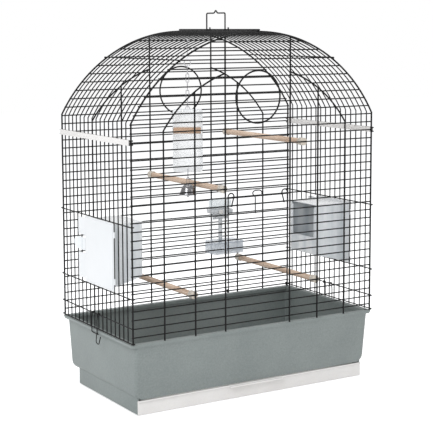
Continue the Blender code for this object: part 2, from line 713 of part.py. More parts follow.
def feeder(word, side):
    """Swing-out feeder: outer plate with hinge clips, hopper, lid and finger tongue."""
    pivot_x = POST_X + SIDE_OUT
    pivot_y = side_wire_y(HATCH_FIRST)
    latch_y = side_wire_y(HATCH_LAST)
    inner = pivot_x + ROW_R + GAP
    base = BASE_HEIGHT
    low = base + HATCH_LOW + 2 * ROW_R
    high = base + HATCH_HIGH - 2 * ROW_R
    step_y = latch_y - PLATE_STEP
    tab_y = latch_y + PLATE_TAB_REACH
    left = pivot_y - CLIP_SLOT

    def across(near, far):
        return (near, far) if side > 0 else (-far, -near)

    outline = [(left, low), (step_y, low)]
    for bottom, top in (PLATE_TABS[:2], PLATE_TABS[2:]):
        outline += [(step_y, base + bottom), (tab_y, base + bottom), (tab_y, base + top), (step_y, base + top)]
    outline += [(step_y, high), (left, high)]
    near, far = across(inner, inner + PLATE_THICK)
    plate = prism(f"{word}_feeder_plate", outline, near, far, "X", "pale_plastic")
    near, far = across(inner + PLATE_THICK / 2, inner + 2 * PLATE_THICK)
    edge = 2.5 * PLATE_THICK
    raised = box(f"{word}_plate_raised", (near, left + edge, low + edge), (far, step_y - edge, high - edge),
                 bevel=PLATE_THICK / 2)
    combine(plate, raised, "UNION")
    centre = side * pivot_x
    for clip_number, height in enumerate(CLIP_HEIGHTS):
        height += base
        clip = cylinder(f"{word}_clip_{clip_number}", CLIP_R, (centre, pivot_y, height - CLIP_HALF),
                        (centre, pivot_y, height + CLIP_HALF), 12)
        combine(plate, clip, "UNION")
        hole = cylinder(f"{word}_clip_hole_{clip_number}", CLIP_BORE, (centre, pivot_y, height - 2 * CLIP_HALF),
                        (centre, pivot_y, height + 2 * CLIP_HALF), 8, None, math.pi / 8)
        combine(plate, hole, "DIFFERENCE")
        near, far = across(pivot_x - 2 * CLIP_R, pivot_x)
        slot = box(f"{word}_clip_slot_{clip_number}", (near, pivot_y - CLIP_SLOT, height - 2 * CLIP_HALF),
                   (far, pivot_y + CLIP_SLOT, height + 2 * CLIP_HALF))
        combine(plate, slot, "DIFFERENCE")
    pivot = (centre, pivot_y, (low + high) / 2)
    hang(plate, pivot)
    tip = latch_y + TONGUE_REACH
    bottom = base + TONGUE_LOW
    top = base + TONGUE_HIGH
    outline = [(step_y + GAP, bottom), (tip - TONGUE_TAPER, bottom), (tip, bottom + TONGUE_CORNER),
               (tip, top - TONGUE_CORNER), (tip - TONGUE_TAPER, top), (step_y + GAP, top)]
    near, far = across(inner, inner + TONGUE_THICK)
    tongue = prism(f"{word}_feeder_tongue", outline, near, far, "X", "clear_plastic")
    hang(tongue, pivot)
    back_y = pivot_y + HOPPER_FROM_HINGE
    front_y = step_y - HOPPER_FROM_STEP
    shell = inner - GAP
    deep = shell - HOPPER_DEPTH
    sill = base + HOPPER_SILL
    foot = base + HOPPER_FOOT
    head = base + HOPPER_HEAD
    outline = [(side * deep, sill), (side * shell, foot), (side * shell, head), (side * deep, head)]
    hopper = prism(f"{word}_feeder_hopper", outline, back_y, front_y, "Y", "clear_plastic")
    wall = HOPPER_WALL
    inside = [(side * (deep + wall), sill + wall), (side * (shell - wall), foot + wall),
              (side * (shell - wall), head + wall), (side * (deep + wall), head + wall)]
    combine(hopper, prism(f"{word}_hopper_inside", inside, back_y + wall, front_y - wall, "Y"), "DIFFERENCE")
    near, far = across(deep - wall, deep + 2 * wall)
    window = box(f"{word}_hopper_window", (near, back_y + WINDOW_IN, base + WINDOW_LOW),
                 (far, front_y - WINDOW_IN, base + WINDOW_HIGH))
    combine(hopper, window, "DIFFERENCE")
    hang(hopper, pivot)
    near, far = across(deep, shell)
    lid = box(f"{word}_feeder_lid", (near, back_y, head + GAP), (far, front_y, head + GAP + LID_THICK),
              "mirror_plastic")
    hang(lid, pivot)


def perch(name, x, row):
    """Wooden perch with a slotted cap on a row wire at each end."""
    z = row_height(row)
    outer = PANEL_Y - STRUT_R - GAP
    inner = outer - CAP_LENGTH
    rod_end = inner + CAP_GRIP
    cylinder(name, PERCH_R, (x, -rod_end + GAP, z), (x, rod_end - GAP, z), 12, "wood")
    for side, word in ((-1, "front"), (1, "back")):
        cap = cylinder(f"{name}_cap_{word}", CAP_R, (x, side * inner, z), (x, side * outer, z), 12, "cap_plastic")
        socket = cylinder(f"{name}_socket_{word}", PERCH_R + GAP, (x, side * (inner - CAP_GRIP), z),
                          (x, side * rod_end, z), 12)
        combine(cap, socket, "DIFFERENCE")
        slot_low = ROW_Y - ROW_R - GAP
        near = min(side * slot_low, side * (outer + CAP_GRIP))
        far = max(side * slot_low, side * (outer + CAP_GRIP))
        half = ROW_R + GAP
        slot = box(f"{name}_slot_{word}", (x - 2 * CAP_R, near, z - half), (x + 2 * CAP_R, far, z + half))
        combine(cap, slot, "DIFFERENCE")


def drinker():
    """Drinker hung inside on the back panel: reservoir, trough, hanger and knob."""
    base = BASE_HEIGHT
    middle = DRINKER_X
    wall = DRINKER_WALL
    wall_y = ROW_Y - ROW_R - GAP
    plate_y = wall_y - wall
    back = plate_y - GAP
    trough = box("drinker_trough", (middle - TROUGH_HALF, back - TROUGH_DEPTH, base + TROUGH_LOW),
                 (middle + TROUGH_HALF, back, base + TROUGH_HIGH), "water_plastic", bevel=0.75 * wall)
    hollow = box("trough_hollow", (middle - TROUGH_HALF + wall, back - TROUGH_DEPTH + wall, base + TROUGH_LOW + wall),
                 (middle + TROUGH_HALF - wall, back - wall, base + TROUGH_HIGH + wall))
    combine(trough, hollow, "DIFFERENCE")
    tank_back = back - TANK_BEHIND
    tank = box("drinker_reservoir", (middle - TANK_HALF, back - TANK_DEPTH, base + TANK_LOW),
               (middle + TANK_HALF, tank_back, base + TANK_HIGH), "water_plastic", bevel=0.75 * wall)
    hollow = box("reservoir_hollow", (middle - TANK_HALF + wall, back - TANK_DEPTH + wall, base + TROUGH_LOW),
                 (middle + TANK_HALF - wall, tank_back - wall, base + TANK_HIGH - wall))
    combine(tank, hollow, "DIFFERENCE")
    row = row_height(DRINKER_ROW)
    hanger = box("drinker_hanger", (middle - HANGER_HALF, plate_y, base + HANGER_LOW),
                 (middle + HANGER_HALF, wall_y, row + HANGER_ABOVE_ROW), "pale_plastic")
    under = row + ROW_R + GAP
    reach = wall_y + HOOK_REACH
    outline = [(wall_y - ROW_R, under), (reach, under), (reach, row - HOOK_DROP),
               (reach + HOOK_THICK, row - HOOK_DROP), (reach + HOOK_THICK, under + HOOK_THICK),
               (wall_y - ROW_R, under + HOOK_THICK)]
    for hook_number, x in enumerate((middle - HOOK_SPREAD, middle + HOOK_SPREAD)):
        hook = prism(f"hanger_hook_{hook_number}", outline, x - HOOK_WIDTH / 2, x + HOOK_WIDTH / 2, "X")
        combine(hanger, hook, "UNION")
    knob_y = back - TANK_DEPTH - GAP
    knob_z = base + KNOB_HEIGHT
    cylinder("drinker_knob", KNOB_R, (middle - KNOB_X, knob_y - KNOB_LENGTH, knob_z),
             (middle - KNOB_X, knob_y, knob_z), 12, "white_plastic")


def toy_frame(x, y):
    """Matrix from the toy's own axes to world axes: across its plate, towards the back, up."""
    return Matrix.Translation((x, y, 0)) @ Matrix.Rotation(-TOY_TURN, 4, "Z")


def turned(frame, points):
    return [tuple(frame @ Vector(point)) for point in points]


def link_points(top, plane):
    """Corners of one oval link whose top centre line is at a height."""
    points = []
    for centre, start in ((top - LINK_RISE, 0), (top - LINK_RISE - 2 * LINK_HALF, 180)):
        for angle in (0, 45, 135, 180):
            a = math.radians(start + angle)
            side = LINK_END * math.cos(a)
            up = centre + LINK_END * math.sin(a)
            points.append((side, 0, up) if plane == "across" else (0, side, up))
    return points


def hanging_toy():
    """Chain from a roof wire, mirror with a small perch, and a bell with its clapper."""
    y = side_wire_y(TOY_WIRE)
    top = arch_height(TOY_X, ARCH_RADIUS + SIDE_OUT)
    frame = toy_frame(TOY_X, y)
    pivot = (TOY_X, y, top)
    eye = ROW_R + LINK_R + 1.5 * EYE_PLAY
    ring_top = top - TOY_RING_DROP
    hook = []
    for angle in (-50, -5, 40, 85, 130, 175, 220):
        a = math.radians(angle)
        hook.append((TOY_X, y + eye * math.cos(a), top + eye * math.sin(a)))
    hook.append((TOY_X, y, top - 2.6 * eye))
    small = EYELET_R + LINK_R + EYE_PLAY
    hook.append((TOY_X, y, ring_top + 2.5 * small))
    low = []
    for angle in (150, 195, 240, 285, 330, 375, 400):
        a = math.radians(angle)
        low.append((0, small * math.cos(a), ring_top + small * math.sin(a)))
    hook += turned(frame, low)
    hang(wires("toy_hook", [(hook, LINK_R)], "chrome"), pivot)
    turn = math.pi / 6
    middle = ring_top - TOY_RING_R
    ring = [(TOY_RING_R * math.sin(turn * (i + 0.5)), 0, middle + TOY_RING_R * math.cos(turn * (i + 0.5)))
            for i in range(12)]
    hang(wires("toy_ring", [(turned(frame, ring), EYELET_R, True)], "chrome"), pivot)
    link_top = ring_top - 2 * TOY_RING_R + EYELET_R + LINK_R + GAP
    pitch = LINK_LENGTH - 2 * LINK_R - GAP
    for number in range(LINK_COUNT):
        plane = "across" if number % 2 else "along"
        points = turned(frame, link_points(link_top - pitch * number, plane))
        hang(wires(f"toy_link_{number + 1}", [(points, LINK_R, True)], "chrome"), pivot)
    bottom = link_top - pitch * (LINK_COUNT - 1) - LINK_LENGTH
    toy_mirror(frame, bottom + 2 * EYELET_R + GAP, bottom - 3.75 * LINK_R)


def toy_mirror(frame, eyelet, plate_top):
    """Mirror plate with an eyelet on top, a bar between two brackets and a hole for the bell."""
    foot = plate_top - MIRROR_HEIGHT
    bar_y = -MIRROR_HALF_THICK - TOY_BAR_R - BRACKET_WIDTH
    bar_z = plate_top - TOY_BAR_DROP
    plate = box("toy_mirror", (-MIRROR_HALF, -MIRROR_HALF_THICK, foot), (MIRROR_HALF, MIRROR_HALF_THICK, plate_top),
                "mirror_plastic")
    for sign, word in ((-1, "left"), (1, "right")):
        near = min(sign * MIRROR_HALF, sign * (MIRROR_HALF - BRACKET_WIDTH))
        far = max(sign * MIRROR_HALF, sign * (MIRROR_HALF - BRACKET_WIDTH))
        bracket = box(f"mirror_bracket_{word}", (near, bar_y - TOY_BAR_R, bar_z - TOY_BAR_R - LINK_R),
                      (far, MIRROR_HALF_THICK / 2, bar_z + TOY_BAR_R + LINK_R))
        bracket.data.transform(frame)
        combine(plate, bracket, "UNION", tangled=True)
    side = 5 * LINK_R
    loop = [(-side, 0, plate_top - side), (-side, 0, eyelet - 0.7 * side), (-0.45 * side, 0, eyelet),
            (0.45 * side, 0, eyelet), (side, 0, eyelet - 0.7 * side), (side, 0, plate_top - side)]
    combine(plate, wires("mirror_eyelet", [(turned(frame, loop), EYELET_R)]), "UNION")
    hole_z = foot + MIRROR_HOLE_UP
    hole = cylinder("mirror_hole", MIRROR_HOLE_R, (0, -MIRROR_HOLE_UP, hole_z), (0, MIRROR_HOLE_UP, hole_z), 8, None,
                    math.pi / 8)
    hole.data.transform(frame)
    combine(plate, hole, "DIFFERENCE")
    plate.data.transform(frame)
    origin = tuple(frame @ Vector((0, 0, eyelet)))
    hang(plate, origin)
    long = MIRROR_HALF - BRACKET_WIDTH - GAP
    bar = cylinder("toy_bar", TOY_BAR_R, (-long, bar_y, bar_z), (long, bar_y, bar_z), 12, "wood")
    bar.data.transform(frame)
    hang(bar, origin)
    link_top = hole_z - MIRROR_HOLE_R + LINK_R + 1.4 * GAP
    hang(wires("toy_bell_link", [(turned(frame, link_points(link_top, "along")), LINK_R, True)], "chrome"), origin)
    toy_bell(frame, link_top - LINK_LENGTH)


def toy_bell(frame, link_low):
    """Turned bell on an eye, with a ball clapper on a short stem."""
    pivot = tuple(frame @ Vector((0, 0, link_low)))
    eye_top = link_low + 2 * LINK_R + GAP
    crown = link_low - BELL_DROP
    shape = bmesh.new()
    spots = [shape.verts.new((radius, 0, crown + up)) for radius, up in BELL_PROFILE]
    for first, second in zip(spots, spots[1:]):
        shape.edges.new((first, second))
    bmesh.ops.spin(shape, geom=shape.verts[:] + shape.edges[:], cent=(0, 0, 0), axis=(0, 0, 1),
                   angle=2 * math.pi, steps=14, use_merge=True)
    bmesh.ops.remove_doubles(shape, verts=shape.verts, dist=0.00001)
    bmesh.ops.transform(shape, matrix=frame, verts=shape.verts)
    bell = place("toy_bell", mesh_from("toy_bell", shape), "chrome")
    leg = crown - EYE_PLAY
    side = 3 * LINK_R
    loop = [(-side, 0, leg), (-side, 0, eye_top - 0.8 * side), (-0.4 * side, 0, eye_top),
            (0.4 * side, 0, eye_top), (side, 0, eye_top - 0.8 * side), (side, 0, leg)]
    combine(bell, wires("bell_eye", [(turned(frame, loop), 0.75 * LINK_R)]), "UNION")
    hang(bell, pivot)
    ball_z = crown - CLAPPER_DROP
    shape = bmesh.new()
    bmesh.ops.create_uvsphere(shape, u_segments=10, v_segments=6, radius=CLAPPER_R)
    bmesh.ops.translate(shape, vec=(0, 0, ball_z), verts=shape.verts)
    bmesh.ops.transform(shape, matrix=frame, verts=shape.verts)
    clapper = place("toy_clapper", mesh_from("toy_clapper", shape), "chrome")
    for face in clapper.data.polygons:
        face.use_smooth = True
    stem_top = crown + BELL_PROFILE[-1][1] - GAP
    stem = cylinder("clapper_stem", EYE_PLAY, (0, 0, ball_z), (0, 0, stem_top), 6)
    stem.data.transform(frame)
    combine(clapper, stem, "UNION")
    hang(clapper, tuple(frame @ Vector((0, 0, stem_top))))


end_panel("front_panel", -1, True)
end_panel("back_panel", 1, False)
side_panel("left_side_panel", -1)
side_panel("right_side_panel", 1)
roof_panel()
ridge()
tray()
front_door()
for word, side in (("left", -1), ("right", 1)):
    latch(f"{word}_latch", side)
    cover_strip(f"{word}_cover_strip", side)
    feeder(word, side)
for name, x, row in PERCHES:
    perch(name, x, row)
drinker()
hanging_toy()
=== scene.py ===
"""Looks of the arched bird cage: round enamelled wires, moulded plastic, wood and plated wire."""

from math import asin, copysign, cos, pi, radians, sin, sqrt

import bmesh
import bpy
from bmesh import ops
from mathutils import Matrix, Vector


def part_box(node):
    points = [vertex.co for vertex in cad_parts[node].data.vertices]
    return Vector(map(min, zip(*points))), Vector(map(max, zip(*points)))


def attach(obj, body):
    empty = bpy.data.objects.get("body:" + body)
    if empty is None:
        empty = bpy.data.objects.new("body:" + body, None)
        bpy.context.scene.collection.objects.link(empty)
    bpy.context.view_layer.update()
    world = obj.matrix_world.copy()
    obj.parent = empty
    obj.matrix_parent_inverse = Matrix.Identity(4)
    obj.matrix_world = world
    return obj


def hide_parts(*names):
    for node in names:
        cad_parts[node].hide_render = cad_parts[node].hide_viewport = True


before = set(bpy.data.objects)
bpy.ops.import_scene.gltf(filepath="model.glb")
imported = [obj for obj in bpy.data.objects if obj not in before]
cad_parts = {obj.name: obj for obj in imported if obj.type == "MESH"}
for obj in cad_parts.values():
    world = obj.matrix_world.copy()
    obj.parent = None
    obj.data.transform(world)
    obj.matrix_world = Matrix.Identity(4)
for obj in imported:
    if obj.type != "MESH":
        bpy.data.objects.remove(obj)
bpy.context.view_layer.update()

# Clearances: how far pieces sink into each other, stand apart, and play in an eye
BITE = 0.0003
GAP = 0.0003
PLAY = 0.0007
MERGE = 0.00001

# Layout, the same as the solids have
POST_X = 0.290
PANEL_Y = 0.15725
BASE = 0.150
POST_R = 0.0016
STRUT_R = 0.00145
SLIM_R = 0.00115
ROW_R = 0.001
ROW_PITCH = 0.0173
FIRST_ROW = 0.0109
ROW_COUNT = 34
ARCH_RADIUS = 0.3296
INNER_RADIUS = 0.2600
DOOR_X = 0.0785
STRUT_PITCH = (POST_X - DOOR_X) / 3
RING_RADIUS = 0.053
RING_ABOVE_SPRING = 0.0424
ROOF_ANGLE = radians(34)
BAYS = 17
BAY = 2 * PANEL_Y / BAYS
CROSS_HEIGHTS = (0.0, 0.030, 0.088, 0.229)
CROSS_OUT = POST_R + ROW_R + GAP
SIDE_OUT = CROSS_OUT - 2 * ROW_R + BITE
ROW_Y = PANEL_Y - SLIM_R - ROW_R + BITE
SPRING_ROW, SPRING_ABOVE_ROW = 24, 0.0025
SPRING = BASE + FIRST_ROW + ROW_PITCH * SPRING_ROW + SPRING_ABOVE_ROW
ARCH_CENTRE = SPRING - sqrt(ARCH_RADIUS ** 2 - POST_X ** 2)
SPRING_ANGLE = asin(POST_X / ARCH_RADIUS)
PANEL_UNDER_SPRING, ROOF_STEP = 0.0406, 0.008
PANEL_TOP = SPRING - BASE - PANEL_UNDER_SPRING
ROOF_FOOT = PANEL_TOP + ROOF_STEP
WIRE_END = 0.0016
RIM_X, RIM_Y, RIM_THICK = 0.295, 0.16025, 0.0065
RIM_TOP = BASE - 0.003
WIRE_FOOT = BASE - 0.0023
HATCH_FIRST, HATCH_LAST = 4, 12
DOOR_FIRST, DOOR_LAST = 5, 15

# Wire finish: enamel on the radius, sides round a wire, steps in a bend
ENAMEL = 0.0003
WIRE_SIDES = 8
BEND_STEPS = 5


def row_height(index):
    return BASE + FIRST_ROW + ROW_PITCH * index


def wire_y(index):
    return -PANEL_Y + BAY * index


# Materials


def add_node(tree, kind, links=(), **values):
    """A node with its settings, and links given as input and output socket."""
    node = tree.nodes.new(kind)
    for key, value in values.items():
        if hasattr(node, key):
            setattr(node, key, value)
        else:
            node.inputs[key.replace("_", " ")].default_value = value
    for name, source in links:
        tree.links.new(source, node.inputs[name])
    return node


def new_surface(name):
    """A new material with its node tree and its Principled shader."""
    material = bpy.data.materials.new(name)
    material.use_nodes = True
    return material, material.node_tree, material.node_tree.nodes["Principled BSDF"]


def moulding_group():
    """Soft mottling, small speckles and fine grain of a moulded or painted surface."""
    group = bpy.data.node_groups.new("moulding_variation", "ShaderNodeTree")
    scales = (("Mottle", 20.0), ("Speckle", 320.0), ("Grain", 1200.0))
    for name, start in scales:
        socket = group.interface.new_socket(name=name + " Scale", in_out="INPUT", socket_type="NodeSocketFloat")
        socket.default_value = start
    for name, start in scales:
        group.interface.new_socket(name=name, in_out="OUTPUT", socket_type="NodeSocketFloat")
    source = group.nodes.new("NodeGroupInput")
    drain = group.nodes.new("NodeGroupOutput")
    place = group.nodes.new("ShaderNodeTexCoord")
    for name, start in scales:
        noise = add_node(group, "ShaderNodeTexNoise", [("Vector", place.outputs["Object"]),
                         ("Scale", source.outputs[name + " Scale"])], Detail=3.0, Roughness=0.55)
        group.links.new(noise.outputs["Fac"], drain.inputs[name])
    return group


VARIATION = moulding_group()
GRAIN_DEPTH = 0.0002


def moulded(name, dark, light, rough, bump, mottle=18.0, speckle=320.0, grain=1200.0, speckled=0.35, **shader):
    """A finish whose colour drifts softly and is speckled, over a fine grain."""
    material, tree, surface = new_surface(name)
    variation = add_node(tree, "ShaderNodeGroup", node_tree=VARIATION)
    for key, value in (("Mottle", mottle), ("Speckle", speckle), ("Grain", grain)):
        variation.inputs[key + " Scale"].default_value = value
    blend = add_node(tree, "ShaderNodeMix", [("A", variation.outputs["Mottle"]),
                     ("B", variation.outputs["Speckle"])], Factor=speckled)
    colour = add_node(tree, "ShaderNodeMix", data_type="RGBA")
    spread = add_node(tree, "ShaderNodeMapRange", [("Value", blend.outputs["Result"])], From_Min=0.3, From_Max=0.7)
    tree.links.new(spread.outputs["Result"], colour.inputs["Factor"])
    colour.inputs[6].default_value = (*dark, 1.0)
    colour.inputs[7].default_value = (*light, 1.0)
    tree.links.new(colour.outputs[2], surface.inputs["Base Color"])
    gloss = add_node(tree, "ShaderNodeMapRange", [("Value", variation.outputs["Speckle"])], To_Min=rough[0],
                     To_Max=rough[1])
    tree.links.new(gloss.outputs["Result"], surface.inputs["Roughness"])
    if bump:
        height = add_node(tree, "ShaderNodeBump", [("Height", variation.outputs["Grain"])], Strength=bump,
                          Distance=GRAIN_DEPTH)
        tree.links.new(height.outputs["Normal"], surface.inputs["Normal"])
    for key, value in shader.items():
        surface.inputs[key.replace("_", " ")].default_value = value
    return material


def drawn_grain(tree, surface, place, stretch, stops, bump, **settings):
    """Noise drawn out along one way, as the colour and the height of a surface; stops are place and colour."""
    drawn = add_node(tree, "ShaderNodeMapping", [("Vector", place)], Scale=stretch)
    noise = add_node(tree, "ShaderNodeTexNoise", [("Vector", drawn.outputs["Vector"])], Scale=1.0, **settings)
    ramp = add_node(tree, "ShaderNodeValToRGB", [("Fac", noise.outputs["Fac"])])
    for stop, (where, colour) in zip(ramp.color_ramp.elements, stops):
        stop.position = where
        stop.color = (*colour, 1.0)
    tree.links.new(ramp.outputs["Color"], surface.inputs["Base Color"])
    height = add_node(tree, "ShaderNodeBump", [("Height", noise.outputs["Fac"])], Strength=bump[0], Distance=bump[1])
    tree.links.new(height.outputs["Normal"], surface.inputs["Normal"])
    return noise.outputs["Fac"]


def wood_finish(name, turn, dark, light):
    """Bare turned wood with the grain along the rod."""
    material, tree, surface = new_surface(name)
    place = tree.nodes.new("ShaderNodeTexCoord")
    along = add_node(tree, "ShaderNodeMapping", [("Vector", place.outputs["Object"])], Rotation=(0.0, 0.0, turn))
    drawn_grain(tree, surface, along.outputs["Vector"], (260.0, 12.0, 260.0), ((0.28, dark), (0.68, light)),
                (0.25, 0.0003), Detail=6.0, Roughness=0.62, Distortion=0.35)
    surface.inputs["Roughness"].default_value = 0.72
    surface.inputs["Specular IOR Level"].default_value = 0.3
    return material


def streaked(name, dark, light, stretch):
    """Cloudy plastic with soft upright streaks."""
    material, tree, surface = new_surface(name)
    place = tree.nodes.new("ShaderNodeTexCoord")
    streak = drawn_grain(tree, surface, place.outputs["Object"], stretch, ((0.32, dark), (0.62, light)),
                         (0.06, 0.0004), Detail=2.0, Roughness=0.5)
    gloss = add_node(tree, "ShaderNodeMapRange", [("Value", streak)], To_Min=0.12, To_Max=0.3)
    tree.links.new(gloss.outputs["Result"], surface.inputs["Roughness"])
    return material


FINISH = {
    "enamel": moulded("black_enamel", (0.0015, 0.0015, 0.0015), (0.004, 0.004, 0.0045), (0.42, 0.6), 0.15,
                      60.0, 500.0, 1800.0, Specular_IOR_Level=0.2),
    "grey": moulded("grey_tray", (0.185, 0.211, 0.206), (0.268, 0.298, 0.289), (0.42, 0.66), 0.4, 9.0, 300.0,
                    1300.0, 0.55),
    "white": moulded("white_moulding", (0.765, 0.74, 0.72), (0.84, 0.82, 0.80), (0.35, 0.52), 0.15, 12.0),
    "gloss": moulded("gloss_white", (0.84, 0.85, 0.86), (0.90, 0.905, 0.91), (0.22, 0.32), 0.05, 14.0,
                     speckled=0.2),
    "pale": moulded("cloudy_plate", (0.78, 0.795, 0.81), (0.83, 0.84, 0.855), (0.27, 0.31), 0.03, 10.0,
                    speckled=0.05, Coat_Weight=0.2),
    "hopper": streaked("cloudy_hopper", (0.66, 0.70, 0.73), (0.88, 0.90, 0.91), (48.0, 48.0, 3.0)),
    "water": moulded("clear_drinker", (0.88, 0.91, 0.93), (0.92, 0.94, 0.95), (0.07, 0.1), 0.0, 20.0,
                     speckled=0.05, Alpha=0.09),
    "tint": moulded("tinted_lid", (0.86, 0.93, 0.96), (0.90, 0.96, 0.98), (0.14, 0.18), 0.02, 20.0,
                    speckled=0.1, Alpha=0.5),
    "band": moulded("grey_band", (0.68, 0.70, 0.72), (0.77, 0.79, 0.81), (0.14, 0.2), 0.02, 20.0,
                    speckled=0.1, Alpha=0.8),
    "trough": moulded("cloudy_trough", (0.60, 0.66, 0.73), (0.77, 0.81, 0.86), (0.12, 0.18), 0.02, 40.0,
                      speckled=0.1, Alpha=0.4),
    "cap": moulded("beige_cap", (0.56, 0.50, 0.42), (0.68, 0.625, 0.55), (0.36, 0.5), 0.10, 30.0),
    "chrome": moulded("bright_plate", (0.42, 0.42, 0.44), (0.58, 0.58, 0.60), (0.10, 0.24), 0.02, 40.0,
                      Metallic=1.0),
    # The bell is chrome like the chain; its colour is darkened as a painted reflection of dark surroundings on its
    # sides
    "bell": moulded("chrome_painted_dark_reflection", (0.10, 0.10, 0.105), (0.30, 0.30, 0.31), (0.08, 0.2), 0.02, 60.0, Metallic=1.0),
    "mirror": moulded("mirror_face", (0.92, 0.93, 0.94), (0.95, 0.955, 0.96), (0.17, 0.18), 0.0, 12.0,
                      speckled=0.0, Metallic=0.7),
    "rubber": moulded("dark_foot", (0.02, 0.02, 0.02), (0.04, 0.04, 0.04), (0.7, 0.9), 0.3, 60.0),
    "wood": wood_finish("perch_wood", 0.0, (0.52, 0.36, 0.255), (0.80, 0.63, 0.50)),
    "bar": wood_finish("bar_wood", radians(-55), (0.38, 0.235, 0.15), (0.66, 0.47, 0.34)),
}


# Shapes


def move(shape, matrix, verts=None):
    ops.transform(shape, matrix=matrix, verts=shape.verts if verts is None else verts)
    return shape


def soften(shape, lines, width, segments):
    """Round edges off."""
    ops.bevel(shape, geom=lines, offset=width, segments=segments, profile=0.5, affect="EDGES", material=-1)


def edges_along(shape, axis, least=GAP):
    """Edges that run mostly along an axis: their ends differ by more than a length on it."""
    return [line for line in shape.edges if abs(line.verts[0].co[axis] - line.verts[1].co[axis]) > least]


def on_side(side, near, far):
    """Two distances from the middle as a low and a high X on a side."""
    return (near, far) if side > 0 else (-far, -near)


def linked(item):
    """Put an object in the scene."""
    bpy.context.scene.collection.objects.link(item)
    return item


def joined(shapes):
    """One bmesh from several."""
    total = bmesh.new()
    for shape in shapes:
        mesh = bpy.data.meshes.new("part")
        shape.to_mesh(mesh)
        shape.free()
        total.from_mesh(mesh)
        bpy.data.meshes.remove(mesh)
    return total


def add_piece(name, shape, finish, node, body="cage", crease=50, wall=0.0, edge=0.0):
    """Make the piece that stands for a node, with a wall and softened edges where asked."""
    ops.recalc_face_normals(shape, faces=shape.faces)
    for face in shape.faces:
        face.smooth = True
    for line in shape.edges:
        if len(line.link_faces) == 2 and line.calc_face_angle(0.0) > radians(crease):
            line.smooth = False
    mesh = bpy.data.meshes.new(name)
    shape.to_mesh(mesh)
    shape.free()
    mesh.materials.append(FINISH[finish])
    piece = linked(bpy.data.objects.new(name, mesh))
    if wall:
        shell = piece.modifiers.new("wall", "SOLIDIFY")
        shell.thickness = wall
        shell.offset = -1.0
        shell.use_even_offset = True
    if edge:
        soft = piece.modifiers.new("edge", "BEVEL")
        soft.width = edge
        soft.segments = 2
        soft.limit_method = "ANGLE"
        soft.angle_limit = radians(crease)
        soft.harden_normals = True
    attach(piece, body)
    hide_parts(node)


def rod(start, end, radius, sides=WIRE_SIDES, soft=0.0):
    """Straight round bar, with its cut ends rounded off where asked."""
    start, end = Vector(start), Vector(end)
    shape = bmesh.new()
    ops.create_cone(shape, cap_ends=True, segments=sides, radius1=radius, radius2=radius, depth=(end - start).length)
    if soft:
        long = edges_along(shape, 2)
        soften(shape, [line for line in shape.edges if line not in long], soft, 3)
    turn = Vector((0, 0, 1)).rotation_difference(end - start).to_matrix().to_4x4()
    return move(shape, Matrix.Translation((start + end) / 2) @ turn)


def wire_frames(points, closed):
    """Matrix at each point of a path, turned as little as possible from one to the next."""
    count = len(points)
    tangents = []
    for index, here in enumerate(points):
        before = points[index - 1] if closed or index else here
        after = points[(index + 1) % count] if closed or index < count - 1 else here
        into = (here - before).normalized() if before != here else Vector()
        out = (after - here).normalized() if after != here else Vector()
        tangents.append((into + out).normalized())
    side = tangents[0].orthogonal().normalized()
    frames = []
    for index, tangent in enumerate(tangents):
        if index:
            side = tangents[index - 1].rotation_difference(tangent) @ side
        side = (side - tangent * side.dot(tangent)).normalized()
        turn = Matrix((side, tangent.cross(side), tangent)).transposed().to_4x4()
        frames.append(Matrix.Translation(points[index]) @ turn)
    return frames


def bent_wire(points, radius, closed=False, sides=WIRE_SIDES):
    """Round wire drawn along a path by extruding a circle from point to point."""
    frames = wire_frames([Vector(point) for point in points], closed)
    shape = bmesh.new()
    ops.create_circle(shape, cap_ends=not closed, segments=sides, radius=radius, matrix=frames[0])
    first = shape.edges[:]
    ring = first
    for before, here in zip(frames, frames[1:]):
        made = ops.extrude_edge_only(shape, edges=ring)["geom"]
        spots = [item for item in made if isinstance(item, bmesh.types.BMVert)]
        fresh = set(spots)
        ring = [item for item in made if isinstance(item, bmesh.types.BMEdge)
                and item.verts[0] in fresh and item.verts[1] in fresh]
        move(shape, here @ before.inverted(), spots)
    if closed:
        ops.bridge_loops(shape, edges=ring + first)
    else:
        ops.edgeloop_fill(shape, edges=ring)
    return shape


def hoop(centre, radius, wire):
    """Ring of wire standing in the plane of a front or back panel."""
    shape = bmesh.new()
    ops.create_circle(shape, cap_ends=False, segments=WIRE_SIDES, radius=wire,
                      matrix=Matrix.Translation((radius, 0, 0)))
    ops.spin(shape, geom=shape.edges[:], cent=(0, 0, 0), axis=(0, 1, 0), angle=2 * pi, steps=48, use_merge=True)
    ops.remove_doubles(shape, verts=shape.verts, dist=MERGE)
    return move(shape, Matrix.Translation(centre))


def rounded(points, radius):
    """Path with each inner corner turned into a bend."""
    points = [Vector(point) for point in points]
    made = [points[0]]
    for before, here, after in zip(points, points[1:], points[2:]):
        into, out = before - here, after - here
        reach = min(radius, 0.48 * into.length, 0.48 * out.length)
        start = here + into.normalized() * reach
        end = here + out.normalized() * reach
        for index in range(BEND_STEPS + 1):
            t = index / BEND_STEPS
            made.append(start * (1 - t) ** 2 + here * 2 * t * (1 - t) + end * t ** 2)
    return made + [points[-1]]


def turn_points(centre, radius, first, last, steps, place):
    """Points of a turn; place makes a point from its two coordinates."""
    made = []
    for index in range(steps + 1):
        a = radians(first + (last - first) * index / steps)
        made.append(place(centre[0] + radius * cos(a), centre[1] + radius * sin(a)))
    return made


def block(low, high, soft=0.0, segments=3):
    """Box between two corners with softened edges."""
    low, high = Vector(low), Vector(high)
    shape = bmesh.new()
    ops.create_cube(shape, size=1.0)
    ops.scale(shape, vec=high - low, verts=shape.verts)
    ops.translate(shape, vec=(low + high) / 2, verts=shape.verts)
    if soft:
        soften(shape, shape.edges[:], soft, segments)
    return shape


